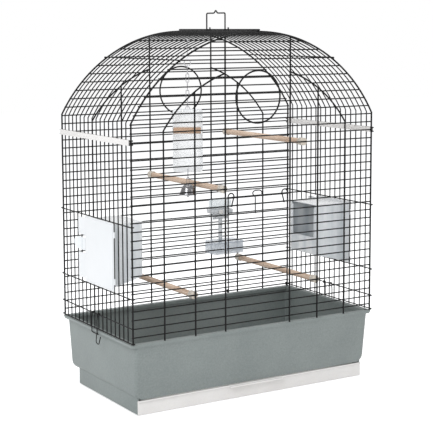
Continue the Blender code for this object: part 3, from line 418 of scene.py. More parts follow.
def open_box(low, high, upright, foot):
    """Box with round uprights and foot, without its top."""
    low, high = Vector(low), Vector(high)
    shape = block(low, high)
    soften(shape, edges_along(shape, 2), upright, 4)
    soften(shape, [line for line in shape.edges if max(vert.co.z for vert in line.verts) < low.z + GAP], foot, 3)
    shape.normal_update()
    ops.delete(shape, geom=[face for face in shape.faces if face.normal.z > 0.99], context="FACES")
    return shape


def sheet(outline, near, far, axis, corner=0.0):
    """Sheet cut to an outline and given its thickness along X or Y."""
    shape = bmesh.new()
    spots = [shape.verts.new((near, u, v) if axis == "X" else (u, near, v)) for u, v in outline]
    shape.faces.new(spots)
    if corner:
        ops.bevel(shape, geom=shape.verts[:], offset=corner, segments=4, profile=0.5, affect="VERTICES", material=-1)
    made = ops.extrude_face_region(shape, geom=shape.faces[:])["geom"]
    across = (far - near, 0, 0) if axis == "X" else (0, far - near, 0)
    ops.translate(shape, vec=across, verts=[item for item in made if isinstance(item, bmesh.types.BMVert)])
    return shape


def turned(profile, start, end, steps=28):
    """Lathe work: profile pairs are radius and distance from start towards end."""
    start, end = Vector(start), Vector(end)
    shape = bmesh.new()
    spots = [shape.verts.new((radius, 0, up)) for radius, up in profile]
    for first, second in zip(spots, spots[1:]):
        shape.edges.new((first, second))
    ops.spin(shape, geom=shape.verts[:] + shape.edges[:], cent=(0, 0, 0), axis=(0, 0, 1), angle=2 * pi, steps=steps,
             use_merge=True)
    ops.remove_doubles(shape, verts=shape.verts, dist=MERGE / 10)
    turn = Vector((0, 0, 1)).rotation_difference(end - start).to_matrix().to_4x4()
    return move(shape, Matrix.Translation(start) @ turn)


# Wire lattices


def arch_line(radius, y, steps=72):
    """Points of the arch from the left springing point to the right one."""
    return [(radius * sin(a), y, ARCH_CENTRE + radius * cos(a))
            for a in (SPRING_ANGLE * (2 * index / steps - 1) for index in range(steps + 1))]


def row_reach(height):
    """How far a row reaches at a height, to the outside of the post or arch."""
    if height <= SPRING:
        return POST_X + POST_R
    rise, steep, most = height - ARCH_CENTRE, 0.2, 0.0028
    over = POST_R * ARCH_RADIUS / rise if rise < steep else most
    return sqrt(ARCH_RADIUS ** 2 - rise ** 2) + over


def end_lattice(name, side, with_door, node):
    """Front or back: outer arch, struts, inner arches, ring and rows."""
    y = side * PANEL_Y
    post, strut, row = POST_R + ENAMEL, STRUT_R + ENAMEL, ROW_R + ENAMEL
    wires = [bent_wire([(-POST_X, y, WIRE_FOOT)] + arch_line(ARCH_RADIUS, y) + [(POST_X, y, WIRE_FOOT)], post)]
    outer = POST_X - STRUT_PITCH
    slim = POST_X - 2 * STRUT_PITCH
    first, last = asin(outer / INNER_RADIUS), asin(DOOR_X / INNER_RADIUS)
    steps = 24
    for sign in (-1, 1):
        top = ARCH_CENTRE + sqrt(ARCH_RADIUS ** 2 - DOOR_X ** 2)
        wires.append(rod((sign * DOOR_X, y, WIRE_FOOT), (sign * DOOR_X, y, top), strut))
        bent = [(sign * outer, y, WIRE_FOOT)]
        for index in range(steps + 1):
            a = first + (last - first) * index / steps
            bent.append((sign * INNER_RADIUS * sin(a), y, ARCH_CENTRE + INNER_RADIUS * cos(a)))
        wires.append(bent_wire(bent, strut))
        top = ARCH_CENTRE + sqrt(INNER_RADIUS ** 2 - slim ** 2)
        wires.append(rod((sign * slim, y, WIRE_FOOT), (sign * slim, y, top), strut))
    wires.append(hoop((0, y, SPRING + RING_ABOVE_SPRING), RING_RADIUS, strut))
    for number in range(ROW_COUNT):
        height = row_height(number)
        reach = row_reach(height)
        spans = [(-reach, reach)]
        if with_door and DOOR_FIRST <= number <= DOOR_LAST:
            stop = DOOR_X - POST_R
            spans = [(-reach, -stop), (stop, reach)]
        for left, right in spans:
            wires.append(rod((left, side * ROW_Y, height), (right, side * ROW_Y, height), row))
    add_piece(name, joined(wires), "enamel", node)


def cross_wire(x, z, out_x, out_z):
    """Wire from front to back whose ends hook round the posts."""
    points = []
    path = ((CROSS_OUT, 0.0010), (CROSS_OUT, 0.0038), (0.0008, 0.0046), (-0.0018, 0.0040))
    for side in (-1, 1):
        hook = [(x + out_x * out, side * (PANEL_Y + beyond), z + out_z * out) for out, beyond in path]
        points += list(reversed(hook)) if side < 0 else hook
    return bent_wire(rounded(points, 0.002), ROW_R + ENAMEL)


def side_lattice(name, side, node):
    """Left or right: cross wires and upright wires, with a hatch for the feeder."""
    x = side * (POST_X + SIDE_OUT)
    heights = [BASE + height for height in CROSS_HEIGHTS] + [BASE + PANEL_TOP]
    wires = [cross_wire(side * POST_X, z, side, 0) for z in heights]
    foot, head = BASE - WIRE_END, BASE + PANEL_TOP + WIRE_END
    for index in range(1, BAYS):
        spans = [(foot, head)]
        if HATCH_FIRST < index < HATCH_LAST:
            spans = [(foot, BASE + CROSS_HEIGHTS[2] + WIRE_END), (BASE + CROSS_HEIGHTS[3] - WIRE_END, head)]
        for low, high in spans:
            wires.append(rod((x, wire_y(index), low), (x, wire_y(index), high), ROW_R + ENAMEL))
    add_piece(name, joined(wires), "enamel", node)


def roof_lattice():
    """Four cross wires and the wires that run over the arch."""
    wires = [cross_wire(side * POST_X, BASE + ROOF_FOOT, side, 0) for side in (-1, 1)]
    for side in (-1, 1):
        out_x, out_z = side * sin(ROOF_ANGLE), cos(ROOF_ANGLE)
        wires.append(cross_wire(ARCH_RADIUS * out_x, ARCH_CENTRE + ARCH_RADIUS * out_z, out_x, out_z))
    foot = BASE + ROOF_FOOT - WIRE_END
    edge = POST_X + SIDE_OUT
    for index in range(1, BAYS):
        y = wire_y(index)
        points = [(-edge, y, foot)] + arch_line(ARCH_RADIUS + SIDE_OUT, y, 60) + [(edge, y, foot)]
        wires.append(bent_wire(points, ROW_R + ENAMEL))
    add_piece("roof_lattice", joined(wires), "enamel", "roof_panel")


def ridge_and_handle():
    """Rod along the ridge and the bail that turns on it."""
    ridge_r, bail_r = 0.002, 0.0012
    z = ARCH_CENTRE + (ARCH_RADIUS + SIDE_OUT) * cos(ROOF_ANGLE / 8) + ROW_R + GAP + ridge_r
    reach, bend = PANEL_Y + 0.004, 0.0035
    add_piece("ridge_bar", rod((0, -reach, z), (0, reach, z), ridge_r, 14, 0.0008), "enamel", "ridge_rod")
    eye = ridge_r + bail_r + PLAY
    foot_y, straight = 2 * BAY, 0.014
    top, peak = 0.0351, 0.0415
    half = [(eye, foot_y, 1.4 * eye)]
    half += turn_points((0, 0), eye, 0, -180, 12, lambda u, v: (u, foot_y, v))
    half += [(-eye, foot_y, straight), (-eye, foot_y, top), (-eye, peak - top, top), (-eye, 0, peak)]
    run = half + [(px, -py, pz) for px, py, pz in reversed(half[:-1])]
    run = rounded([(px, py, z + pz) for px, py, pz in run], bend)
    add_piece("handle_bail", bent_wire(run, bail_r + ENAMEL, sides=10), "enamel", "carry_handle", "carry_handle")


def cover_strip(word, side):
    """White strip of H section over the wires where side and roof meet."""
    thick, lap, clear = 0.0012, 0.0015, 0.0022
    outside = POST_X + CROSS_OUT + ROW_R + GAP
    inside = POST_X + SIDE_OUT - ROW_R - GAP
    low, high = BASE + PANEL_TOP - lap, BASE + ROOF_FOOT + lap
    web_low, web_high = BASE + PANEL_TOP + clear, BASE + ROOF_FOOT - clear
    half = ROW_Y - ROW_R - GAP
    parts = []
    for near, far, foot, head, long in ((outside, outside + thick, low, high, PANEL_Y - POST_R / 2),
                                        (inside - thick, inside, low, high, half),
                                        (inside - BITE, outside + BITE, web_low, web_high, half)):
        near, far = on_side(side, near, far)
        parts.append(block((near, -long, foot), (far, long, head), 0.0004, 2))
    add_piece(f"{word}_white_strip", joined(parts), "white", f"{word}_cover_strip")


def front_door():
    """Door of eleven rows on two crooked wires, with its bent pull."""
    wire_r = 0.0012
    wire_x = DOOR_X - 0.0065
    crook_r, crook_rise = 0.0068, 0.0018
    hinge_z, top_z = row_height(DOOR_FIRST - 1), row_height(DOOR_LAST)
    plane = -(ROW_Y + wire_r + ROW_R - BITE)
    eye = ROW_R + wire_r + PLAY
    wires = []
    for sign in (-1, 1):
        x = sign * wire_x
        points = turn_points((0, 0), eye, -230, 25, 16, lambda u, v: (x, -ROW_Y - u, hinge_z + v))
        points.append((x, plane, hinge_z + 5 * wire_r))
        middle = wire_x - crook_r
        points += turn_points((middle, top_z + crook_rise), crook_r, 0, 205, 18,
                              lambda u, v: (sign * u, plane, v))
        points.append((sign * (middle - ROW_R), plane, row_height(DOOR_LAST - 1) - crook_rise))
        wires.append(bent_wire(points, wire_r + ENAMEL / 2))
    pull_x = -0.007
    pull = [(pull_x, plane, row_height(DOOR_LAST - 2) - crook_rise), (pull_x, plane, top_z - 2 * ROW_R)]
    pull += [(across, plane, top_z + up) for across, up in
             ((-0.0125, 0.0022), (-0.0135, 0.0070), (-0.0085, 0.0106), (0.0045, 0.0106), (0.0095, 0.0066),
              (0.0085, 0.0022))]
    wires.append(bent_wire(rounded(pull, 0.003), ROW_R + ENAMEL / 2))
    end = wire_x + 2 * ROW_R
    for index in range(DOOR_FIRST, DOOR_LAST + 1):
        z = row_height(index)
        wires.append(rod((-end, -ROW_Y, z), (end, -ROW_Y, z), ROW_R + ENAMEL))
    add_piece("door_lattice", joined(wires), "enamel", "front_door", "front_door")


def latch(word, side):
    """Wire clip that hangs on the second side wire, hooks under the rim and ends in a finger loop."""
    latch_r, rim_gap, tuck = 0.0011, 0.0008, 0.0015
    drop, reach = 0.016, 0.010
    x = side * (POST_X + CROSS_OUT)
    z = BASE + CROSS_HEIGHTS[1]
    eye = ROW_R + latch_r + PLAY
    leg_y = BAY / 2 + ROW_R + latch_r + PLAY
    leg_x = side * (RIM_X + latch_r + rim_gap)
    under = RIM_TOP - RIM_THICK - latch_r - PLAY
    half = turn_points((0, 0), eye, 230, 20, 14, lambda u, v: (x + side * u, z + v))
    half += [(x + side * eye, z - eye - ROW_R), (leg_x, z - 4 * eye - ROW_R), (leg_x, under + eye),
             (side * (RIM_X - tuck), under)]
    run = [(px, -leg_y, pz) for px, pz in half] + [(px, leg_y, pz) for px, pz in reversed(half)]
    low = under - drop
    out = leg_x + side * tuck
    far = leg_y + reach
    loop = [(leg_x, -leg_y, under + 2 * eye), (out, -leg_y, under - 2 * tuck), (out, 2 * latch_r - leg_y, low),
            (out, -far, low - eye), (leg_x, -far - 2 * eye, under - tuck)]
    wires = [bent_wire(rounded(run, 0.0022), latch_r), bent_wire(rounded(loop, 0.005), 0.9 * latch_r)]
    add_piece(f"{word}_latch_clip", joined(wires), "enamel", f"{word}_latch", f"{word}_latch")


end_lattice("front_lattice", -1, True, "front_panel")
end_lattice("back_lattice", 1, False, "back_panel")
side_lattice("left_lattice", -1, "left_side_panel")
side_lattice("right_lattice", 1, "right_side_panel")
roof_lattice()
ridge_and_handle()
front_door()
for word, side in (("left", -1), ("right", 1)):
    cover_strip(word, side)
    latch(word, side)

# Base tray and drawer

WALL_X, WALL_TOP_Y, WALL_FOOT_Y, WALL_DRAFT = 0.284, 0.1580, 0.1468, 0.003
TRAY_FLOOR, TRAY_WALL, LEDGE = 0.032, 0.0025, 0.022
SKIRT_X, SKIRT_FRONT, SKIRT_BACK, SKIRT_WALL = 0.2755, -0.1464, 0.122, 0.005
RAIL_WIDE, RAIL_TOP = 0.016, 0.0045
WELL_X, WELL_Y = 0.242, 0.104
FOOT_R, FOOT_HIGH = 0.006, 0.0017
BROAD = 0.05


def draw_in(shape, level, by_x, by_y):
    """Draw a block's corners below a level towards its middle."""
    for vert in shape.verts:
        if vert.co.z < level:
            vert.co.x -= copysign(by_x, vert.co.x)
            vert.co.y -= copysign(by_y, vert.co.y)


def broad_flats(shape):
    """Level faces as large as the tray."""
    shape.normal_update()
    return [face for face in shape.faces if abs(face.normal.z) > 0.999 and face.calc_area() > BROAD]


def tray_rim():
    """Flat rim round the top: a slab with round corners, opened by insets that are bridged."""
    corner, lip, wide = 0.007, 0.0012, 0.0125
    shape = block((-RIM_X, -RIM_Y, RIM_TOP - RIM_THICK), (RIM_X, RIM_Y, RIM_TOP))
    draw_in(shape, RIM_TOP - GAP, 0.0022, 0.0012)
    soften(shape, edges_along(shape, 2), corner, 6)
    soften(shape, [line for line in shape.edges if min(vert.co.z for vert in line.verts) > RIM_TOP - GAP], lip, 3)
    flats = broad_flats(shape)
    loops = []
    for face in flats:
        ops.inset_region(shape, faces=[face], thickness=wide, use_even_offset=True)
        loops += face.edges[:]
    ops.delete(shape, geom=flats, context="FACES_ONLY")
    ops.bridge_loops(shape, edges=loops)
    add_piece("tray_rim_band", shape, "grey", "tray", "cage", 40)


def tray_tub():
    """Tub with sloping front and back, ends that turn round into the foot, and an open floor."""
    top = RIM_TOP - 0.002
    foot_round, corner = 0.015, 0.006
    shape = block((-WALL_X, -WALL_TOP_Y, TRAY_FLOOR), (WALL_X, WALL_TOP_Y, top))
    draw_in(shape, TRAY_FLOOR + GAP, WALL_DRAFT, WALL_TOP_Y - WALL_FOOT_Y)
    lengthwise = edges_along(shape, 0)
    foot = [line for line in shape.edges if max(vert.co.z for vert in line.verts) < TRAY_FLOOR + GAP]
    soften(shape, [line for line in foot if line not in lengthwise], foot_round, 8)
    shape.normal_update()
    ends = []
    for line in shape.edges:
        across = sorted(abs(face.normal.y) for face in line.link_faces)
        level = max(abs(face.normal.z) for face in line.link_faces)
        if across[0] < 0.1 and across[1] > 0.9 and level < 0.995:
            ends.append(line)
    soften(shape, ends, corner, 4)
    flats = broad_flats(shape)
    ops.delete(shape, geom=[face for face in flats if face.normal.z > 0], context="FACES_ONLY")
    floor = [face for face in flats if face.is_valid]
    ops.inset_region(shape, faces=floor, thickness=LEDGE, use_even_offset=True)
    for vert in floor[0].verts:
        vert.co.x = copysign(WELL_X, vert.co.x)
        vert.co.y = copysign(WELL_Y, vert.co.y)
    ops.delete(shape, geom=floor, context="FACES_ONLY")
    ops.remove_doubles(shape, verts=shape.verts, dist=MERGE)
    add_piece("tray_tub", shape, "grey", "tray", "cage", 35, TRAY_WALL, 0.0006)


def tray_skirt():
    """Three walls round the drawer, and the rails that it runs on."""
    walls = []
    low, top = FOOT_HIGH + GAP, TRAY_FLOOR + TRAY_WALL / 2
    front, back = SKIRT_FRONT + 0.0032, SKIRT_BACK - GAP
    rail_x, rail_front, rail_soft = SKIRT_X - SKIRT_WALL, SKIRT_FRONT + 0.004, 0.0008
    for sign in (-1, 1):
        near, far = on_side(sign, rail_x, SKIRT_X)
        walls.append(block((near, front, low), (far, SKIRT_BACK, top + 0.003), 0.0012))
        near, far = on_side(sign, rail_x - RAIL_WIDE, SKIRT_X - GAP)
        walls.append(block((near, rail_front, low), (far, back, RAIL_TOP), rail_soft))
    walls.append(block((-rail_x - BITE, SKIRT_BACK - TRAY_WALL, low), (rail_x + BITE, back, top), 0.0006))
    walls.append(block((-rail_x, SKIRT_BACK - RAIL_WIDE, low), (rail_x, back, RAIL_TOP), rail_soft))
    add_piece("tray_skirt", joined(walls), "grey", "tray", "cage", 40)


def tray_feet():
    """Four small pads under the skirt."""
    for name_x in ("left", "right"):
        for name_y in ("front", "back"):
            name = f"foot_{name_y}_{name_x}"
            box_low, box_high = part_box(name)
            spot = ((box_low[0] + box_high[0]) / 2, (box_low[1] + box_high[1]) / 2)
            profile = [(0, 0), (0.0052, 0), (0.0058, 0.0004), (FOOT_R, FOOT_HIGH), (0, FOOT_HIGH)]
            pad = turned(profile, (*spot, box_low[2]), (*spot, box_high[2]), 20)
            add_piece(name + "_pad", pad, "rubber", name)


def drawer():
    """Pull-out drawer: a shallow pan, its wide front with a lip, and the finger pull."""
    low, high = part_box("drawer")
    front, top, sill, wall = SKIRT_FRONT, high[2], 0.0048, 0.002
    front_x, body_x, pull_x = SKIRT_X - 0.0008, high[0] - 0.003, 0.065
    pan = open_box((-body_x, front + 0.0015, sill), (body_x, SKIRT_BACK - 0.004, top - wall), 0.006, 0.003)
    add_piece("drawer_pan", pan, "white", "drawer", "drawer", 40, wall)
    parts = [block((-front_x, front, low[2]), (front_x, front + 0.003, top), 0.0008),
             block((-front_x, front - 0.002, top - 0.0032), (front_x, front + 0.001, top), 0.0009),
             block((-pull_x, front - 0.0088, top - 0.0045), (pull_x, front + 0.001, top - 0.0012), 0.0012)]
    add_piece("drawer_front", joined(parts), "white", "drawer", "drawer", 40)


tray_rim()
tray_tub()
tray_skirt()
tray_feet()
drawer()

# Feeders

SHEET, CLIP_R, SHELL_WALL = 0.0012, 0.0029, 0.002
HATCH_WIRE_X = POST_X + SIDE_OUT
PIVOT_Y, LATCH_Y = wire_y(HATCH_FIRST), wire_y(HATCH_LAST)
PLATE_X = HATCH_WIRE_X + ROW_R + GAP
STEP_Y, TAB_Y, TONGUE_Y = LATCH_Y - 0.0205, LATCH_Y + 0.0115, LATCH_Y + 0.0315
SHELL_X, HOPPER_DEEP = PLATE_X - GAP, 0.0763
HOPPER_BACK, HOPPER_FRONT, HOPPER_HEAD = PIVOT_Y + 0.02125, STEP_Y - 0.00525, BASE + 0.220


def hinge_clip(side, height):
    """Open clip round the hatch's first wire, spun from a short upright line."""
    x = side * HATCH_WIRE_X
    clip = bmesh.new()
    foot = Vector((side * (HATCH_WIRE_X - 0.0012), PIVOT_Y + 0.0018, height - 0.006))
    spots = [clip.verts.new(foot), clip.verts.new(foot + Vector((0, 0, 0.012)))]
    clip.edges.new(spots)
    ops.spin(clip, geom=clip.verts[:] + clip.edges[:], cent=(x, PIVOT_Y, 0), axis=(0, 0, side), angle=-radians(250),
             steps=14)
    for vert in clip.verts:
        arm = Vector((vert.co.x - x, vert.co.y - PIVOT_Y, 0)).normalized() * (CLIP_R - GAP)
        vert.co.x, vert.co.y = x + arm.x, PIVOT_Y + arm.y
    ops.recalc_face_normals(clip, faces=clip.faces)
    ops.solidify(clip, geom=clip.faces[:], thickness=0.0010)
    return clip


def feeder_plate(word, side):
    """Outer plate with two tabs, a raised middle and two hinge clips."""
    low, high = BASE + CROSS_HEIGHTS[2] + 2 * ROW_R, BASE + CROSS_HEIGHTS[3] - 2 * ROW_R
    left, edge = PIVOT_Y - 0.00085, 2.5 * SHEET
    outline = [(left, low), (STEP_Y, low)]
    for bottom, top in ((0.096, 0.148), (0.186, 0.222)):
        outline += [(STEP_Y, BASE + bottom), (TAB_Y, BASE + bottom), (TAB_Y, BASE + top), (STEP_Y, BASE + top)]
    outline += [(STEP_Y, high), (left, high)]
    plate = sheet(outline, *on_side(side, PLATE_X, PLATE_X + SHEET), "X", 0.0022)
    near, far = on_side(side, PLATE_X + SHEET / 2, PLATE_X + 2 * SHEET)
    raised = block((near, left + edge, low + edge), (far, STEP_Y - edge, high - edge), 0.0005)
    clips = [hinge_clip(side, BASE + height) for height in (0.110, 0.204)]
    add_piece(f"{word}_plate", joined([plate, raised] + clips), "pale", f"{word}_feeder_plate", f"{word}_feeder", 40)


def feeder_tongue(word, side):
    """Finger tongue with a cut tip."""
    bottom, top, cut, drop = BASE + 0.154, BASE + 0.180, 0.018, 0.008
    outline = [(STEP_Y + GAP, bottom), (TONGUE_Y - cut, bottom), (TONGUE_Y, bottom + drop), (TONGUE_Y, top - drop),
               (TONGUE_Y - cut, top), (STEP_Y + GAP, top)]
    tongue = sheet(outline, *on_side(side, PLATE_X, PLATE_X + 0.002), "X", 0.0030)
    add_piece(f"{word}_tongue", tongue, "hopper", f"{word}_feeder_tongue", f"{word}_feeder", 40, 0.0, 0.0004)


def feeder_hopper(word, side):
    """Hopper with a foot that slopes out, a window towards the birds, and a lid."""
    deep = SHELL_X - HOPPER_DEEP
    sill, foot, middle = BASE + 0.110, BASE + 0.091, BASE + 0.160
    window_low, window_high, window_edge = BASE + 0.148, BASE + 0.212, 0.011
    outline = [(side * deep, sill), (side * SHELL_X, foot), (side * SHELL_X, HOPPER_HEAD),
               (side * deep, HOPPER_HEAD)]
    hopper = sheet(outline, HOPPER_BACK, HOPPER_FRONT, "Y")
    upright = edges_along(hopper, 2, 0.05)
    soften(hopper, [line for line in upright if abs(line.verts[0].co.x) < deep + GAP], 0.004, 4)
    ops.recalc_face_normals(hopper, faces=hopper.faces)
    top_face = [face for face in hopper.faces if face.normal.z > 0.99]
    mouth = [face for face in hopper.faces if face.normal.x * side < -0.99]
    ops.delete(hopper, geom=top_face, context="FACES_ONLY")
    ops.inset_region(hopper, faces=mouth, thickness=0.006, use_even_offset=True)
    middle_y = (HOPPER_BACK + HOPPER_FRONT) / 2
    half = (HOPPER_FRONT - HOPPER_BACK) / 2 - window_edge
    for vert in mouth[0].verts:
        vert.co.y = middle_y + copysign(half, vert.co.y - middle_y)
        vert.co.z = window_high if vert.co.z > middle else window_low
    ops.delete(hopper, geom=mouth, context="FACES_ONLY")
    body = f"{word}_feeder"
    add_piece(f"{word}_hopper", hopper, "hopper", f"{word}_feeder_hopper", body, 40, SHELL_WALL, 0.0004)
    near, far = on_side(side, deep, SHELL_X)
    lid_foot = HOPPER_HEAD + GAP
    lid = block((near, HOPPER_BACK, lid_foot), (far, HOPPER_FRONT, lid_foot + SHELL_WALL), 0.0008)
    add_piece(f"{word}_lid", lid, "gloss", f"{word}_feeder_lid", body, 40)


for word, side in (("left", -1), ("right", 1)):
    feeder_plate(word, side)
    feeder_tongue(word, side)
    feeder_hopper(word, side)

# Perches


def perch(name, x, row):
    """Turned rod with a slotted beige cap on a row wire at each end."""
    z = row_height(row)
    perch_r, cap_r, cap_length, grip = 0.006, 0.008, 0.015, 0.008
    outer = PANEL_Y - STRUT_R - GAP
    inner = outer - cap_length
    end = inner + grip - GAP
    add_piece(f"{name}_rod", rod((x, -end, z), (x, end, z), perch_r, 24, 0.0006), "wood", name)
    slot = ROW_Y - ROW_R - GAP - inner
    for side, word in ((-1, "front"), (1, "back")):
        profile = [(0, grip), (perch_r + GAP, grip), (perch_r + GAP, 0), (0.0074, 0), (cap_r, 0.0006),
                   (cap_r, slot), (0, slot)]
        parts = [turned(profile, (x, side * inner, z), (x, side * outer, z))]
        for sign in (-1, 1):
            prong = rod((x, side * (inner + slot - BITE), z), (x, side * outer, z), cap_r, 28, 0.0006)
            cut = (x, 0, z + sign * (ROW_R + ENAMEL + GAP))
            ops.bisect_plane(prong, geom=prong.verts[:] + prong.edges[:] + prong.faces[:], dist=MERGE, plane_co=cut,
                             plane_no=(0, 0, -sign), clear_outer=True)
            ops.holes_fill(prong, edges=[line for line in prong.edges if line.is_boundary], sides=0)
            parts.append(prong)
        add_piece(f"{name}_clip_{word}", joined(parts), "cap", f"{name}_cap_{word}", "cage", 35)


for name, x, row in (("perch_upper_right", 0.115, 21), ("perch_middle", -0.080, 16),
                     ("perch_lower_left", -0.150, 4), ("perch_lower_right", 0.148, 4)):
    perch(name, x, row)

# Drinker


def corners(node):
    """A node's CAD box as two vectors."""
    low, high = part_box(node)
    return Vector(low), Vector(high)


def reservoir():
    """Clear tank with a tinted lid and a band, narrower than the solid."""
    low, high = corners("drinker_reservoir")
    low.x, high.x = low.x + 0.004, low.x + 0.048
    lid_foot, proud = high.z - 0.018, 0.0002
    tank = block(low, (high.x, high.y, lid_foot - GAP), 0.005)
    lid = block((low.x - proud, low.y - proud, lid_foot), (high.x + proud, high.y, high.z), 0.0015)
    band = block((low.x - 0.005, low.y - 0.001, high.z - 0.030), (high.x + 0.004, high.y, high.z - 0.021), 0.001)
    for name, shape, finish in (("shell", tank, "water"), ("lid", lid, "tint"), ("band", band, "band")):
        add_piece(f"reservoir_{name}", shape, finish, "drinker_reservoir", "cage", 40)


def trough():
    """Tinted trough with round corners, open at the top."""
    low, high = corners("drinker_trough")
    high.x -= 0.010
    shape = open_box(low, high, 0.005, 0.004)
    add_piece("trough_shell", shape, "trough", "drinker_trough", "cage", 40, SHELL_WALL, 0.0006)


def hanger():
    """Strip with two hooks over a row wire, and a narrow stem down to the trough."""
    low, high = corners("drinker_hanger")
    hook, stem, strip = 0.0014, 0.005, 0.012
    row = row_height(10)
    over = row + ROW_R + GAP
    middle = (low.x + high.x) / 2
    near_y = min(high.y - 0.0038 - hook, low.y + SHELL_WALL)
    parts = [block((low.x, low.y, over - strip), (high.x, near_y, high.z), 0.0006),
             block((middle - stem, low.y, low.z), (middle + stem, near_y, over - strip + 0.002), 0.0006)]
    for x in (middle - 0.010, middle + 0.010):
        near, far, top = x - 0.004, x + 0.004, over + hook
        parts.append(block((near, low.y + SHELL_WALL - BITE, over + BITE), (far, high.y, top), 0.0003))
        parts.append(block((near, high.y - hook, row - 0.004), (far, high.y, top), 0.0003))
    add_piece("drinker_hook_plate", joined(parts), "pale", "drinker_hanger", "cage", 40)


def knob():
    """Turned knob on the front of the reservoir."""
    low, high = corners("drinker_knob")
    spot = (low + high) / 2
    profile = [(0, 0), (0.0034, 0), (0.0034, 0.002), (0.0050, 0.0026), (0.0050, 0.0052), (0.0042, 0.006), (0, 0.006)]
    shape = turned(profile, (spot.x, high.y, spot.z), (spot.x, low.y, spot.z))
    add_piece("drinker_button", shape, "white", "drinker_knob")


reservoir()
trough()
hanger()
knob()

# Hanging toy

TOY_X, TOY_WIRE, TOY_TURN = -0.1114, 5, radians(35)
RING_UNDER_WIRE = 0.037865
TOY_TOP = ARCH_CENTRE + sqrt((ARCH_RADIUS + SIDE_OUT) ** 2 - TOY_X ** 2)
TOY_FRAME = Matrix.Translation((TOY_X, wire_y(TOY_WIRE), 0)) @ Matrix.Rotation(-TOY_TURN, 4, "Z")
LINK_R, EYELET_R, RING_R = 0.0008, 0.0009, 0.0065
LINK_HALF, LINK_END = 0.0072, 0.0030
LINK_RISE = LINK_END * sin(radians(45))
LINK_LENGTH = 2 * (LINK_HALF + LINK_RISE)


def toy_points(points):
    """Points of the toy's own frame, which hangs turned under its roof wire."""
    return [TOY_FRAME @ Vector(point) for point in points]


def link_wire(top, plane):
    """Oval chain link whose top centre line is at a height."""
    points = []
    for centre, start in ((top - LINK_END, 0), (top - LINK_LENGTH + LINK_END, 180)):
        for side, up in turn_points((0, centre), LINK_END, start, start + 180, 10, lambda u, v: (u, v)):
            points.append((side, 0, up) if plane == "across" else (0, side, up))
    return bent_wire(toy_points(points), LINK_R, True)


def toy_chain():
    """Hook over a roof wire, ring and chain links; gives the height of the lowest link."""
    x, y, top = TOY_X, wire_y(TOY_WIRE), TOY_TOP
    eye = ROW_R + LINK_R + 1.5 * PLAY
    ring_top = top - RING_UNDER_WIRE
    small = EYELET_R + LINK_R + PLAY
    hook = turn_points((y, top), eye, -50, 220, 16, lambda u, v: (x, u, v))
    hook += [(x, y, top - 2.6 * eye), (x, y, ring_top + 2.5 * small)]
    hook += toy_points(turn_points((0, ring_top), small, 150, 400, 14, lambda u, v: (0, u, v)))
    add_piece("toy_hook_wire", bent_wire(hook, LINK_R), "chrome", "toy_hook", "toy_chain")
    ring = turn_points((0, ring_top - RING_R), RING_R, 0, 350, 35, lambda u, v: (u, 0, v))
    add_piece("toy_ring_wire", bent_wire(toy_points(ring), EYELET_R, True), "chrome", "toy_ring", "toy_chain")
    link_top = ring_top - 2 * RING_R + EYELET_R + LINK_R + GAP
    pitch = LINK_LENGTH - 2 * LINK_R - GAP
    for number in range(5):
        link = link_wire(link_top - pitch * number, "across" if number % 2 else "along")
        add_piece(f"toy_link_wire_{number + 1}", link, "chrome", f"toy_link_{number + 1}", "toy_chain")
    return link_top - pitch * 4 - LINK_LENGTH


def eye_wire(side, low, top, radius):
    """Small eyelet standing on a plate or bell."""
    points = [(-side, 0, low), (-side, 0, top - 0.8 * side), (-0.45 * side, 0, top), (0.45 * side, 0, top),
              (side, 0, top - 0.8 * side), (side, 0, low)]
    return bent_wire(toy_points(rounded(points, 0.6 * side)), radius)


def toy_mirror(bottom):
    """Mirror in a pale frame, with a wooden bar between two ears; gives the top of the bell's link."""
    eyelet, plate_top = bottom + 2 * EYELET_R + GAP, bottom - 3.75 * LINK_R
    foot = plate_top - 0.130
    half, thick, bracket = 0.0305, 0.0015, 0.0022
    bar_r, ear = 0.006, 0.0068
    bar_y, bar_z = -thick - bar_r - bracket, plate_top - 0.044
    plate = block((-half, -thick, foot), (half, thick, plate_top))
    soften(plate, edges_along(plate, 1), 0.006, 5)
    plate.normal_update()
    faces = [face for face in plate.faces if abs(face.normal.y) > 0.99]
    ops.inset_region(plate, faces=faces, thickness=0.0025, depth=-0.0004, use_even_offset=True)
    parts = [plate]
    for sign in (-1, 1):
        near, far = on_side(sign, half - bracket, half)
        parts.append(block((near, bar_y - ear, bar_z - ear), (far, thick / 2, bar_z + ear), 0.0008))
    add_piece("mirror_frame", move(joined(parts), TOY_FRAME), "gloss", "toy_mirror", "toy_mirror", 40, 0.0, 0.0003)
    frame_x, sunk = half - 0.0032, thick - 0.0001
    glass = block((-frame_x, -sunk, foot + 0.0135), (frame_x, sunk, plate_top - 0.004), 0.00025, 1)
    add_piece("mirror_glass", move(glass, TOY_FRAME), "mirror", "toy_mirror", "toy_mirror", 30)
    side = 5 * LINK_R
    add_piece("mirror_eye", eye_wire(side, plate_top - side, eyelet, EYELET_R), "chrome", "toy_mirror", "toy_mirror")
    long = half - bracket - GAP
    bar = move(rod((-long, bar_y, bar_z), (long, bar_y, bar_z), bar_r, 24, 0.0006), TOY_FRAME)
    add_piece("toy_bar_rod", bar, "bar", "toy_bar", "toy_mirror")
    link_top = foot + 0.0075 - 0.0022 + LINK_R + 1.4 * GAP
    add_piece("bell_link_wire", link_wire(link_top, "along"), "chrome", "toy_bell_link", "toy_mirror")
    return link_top


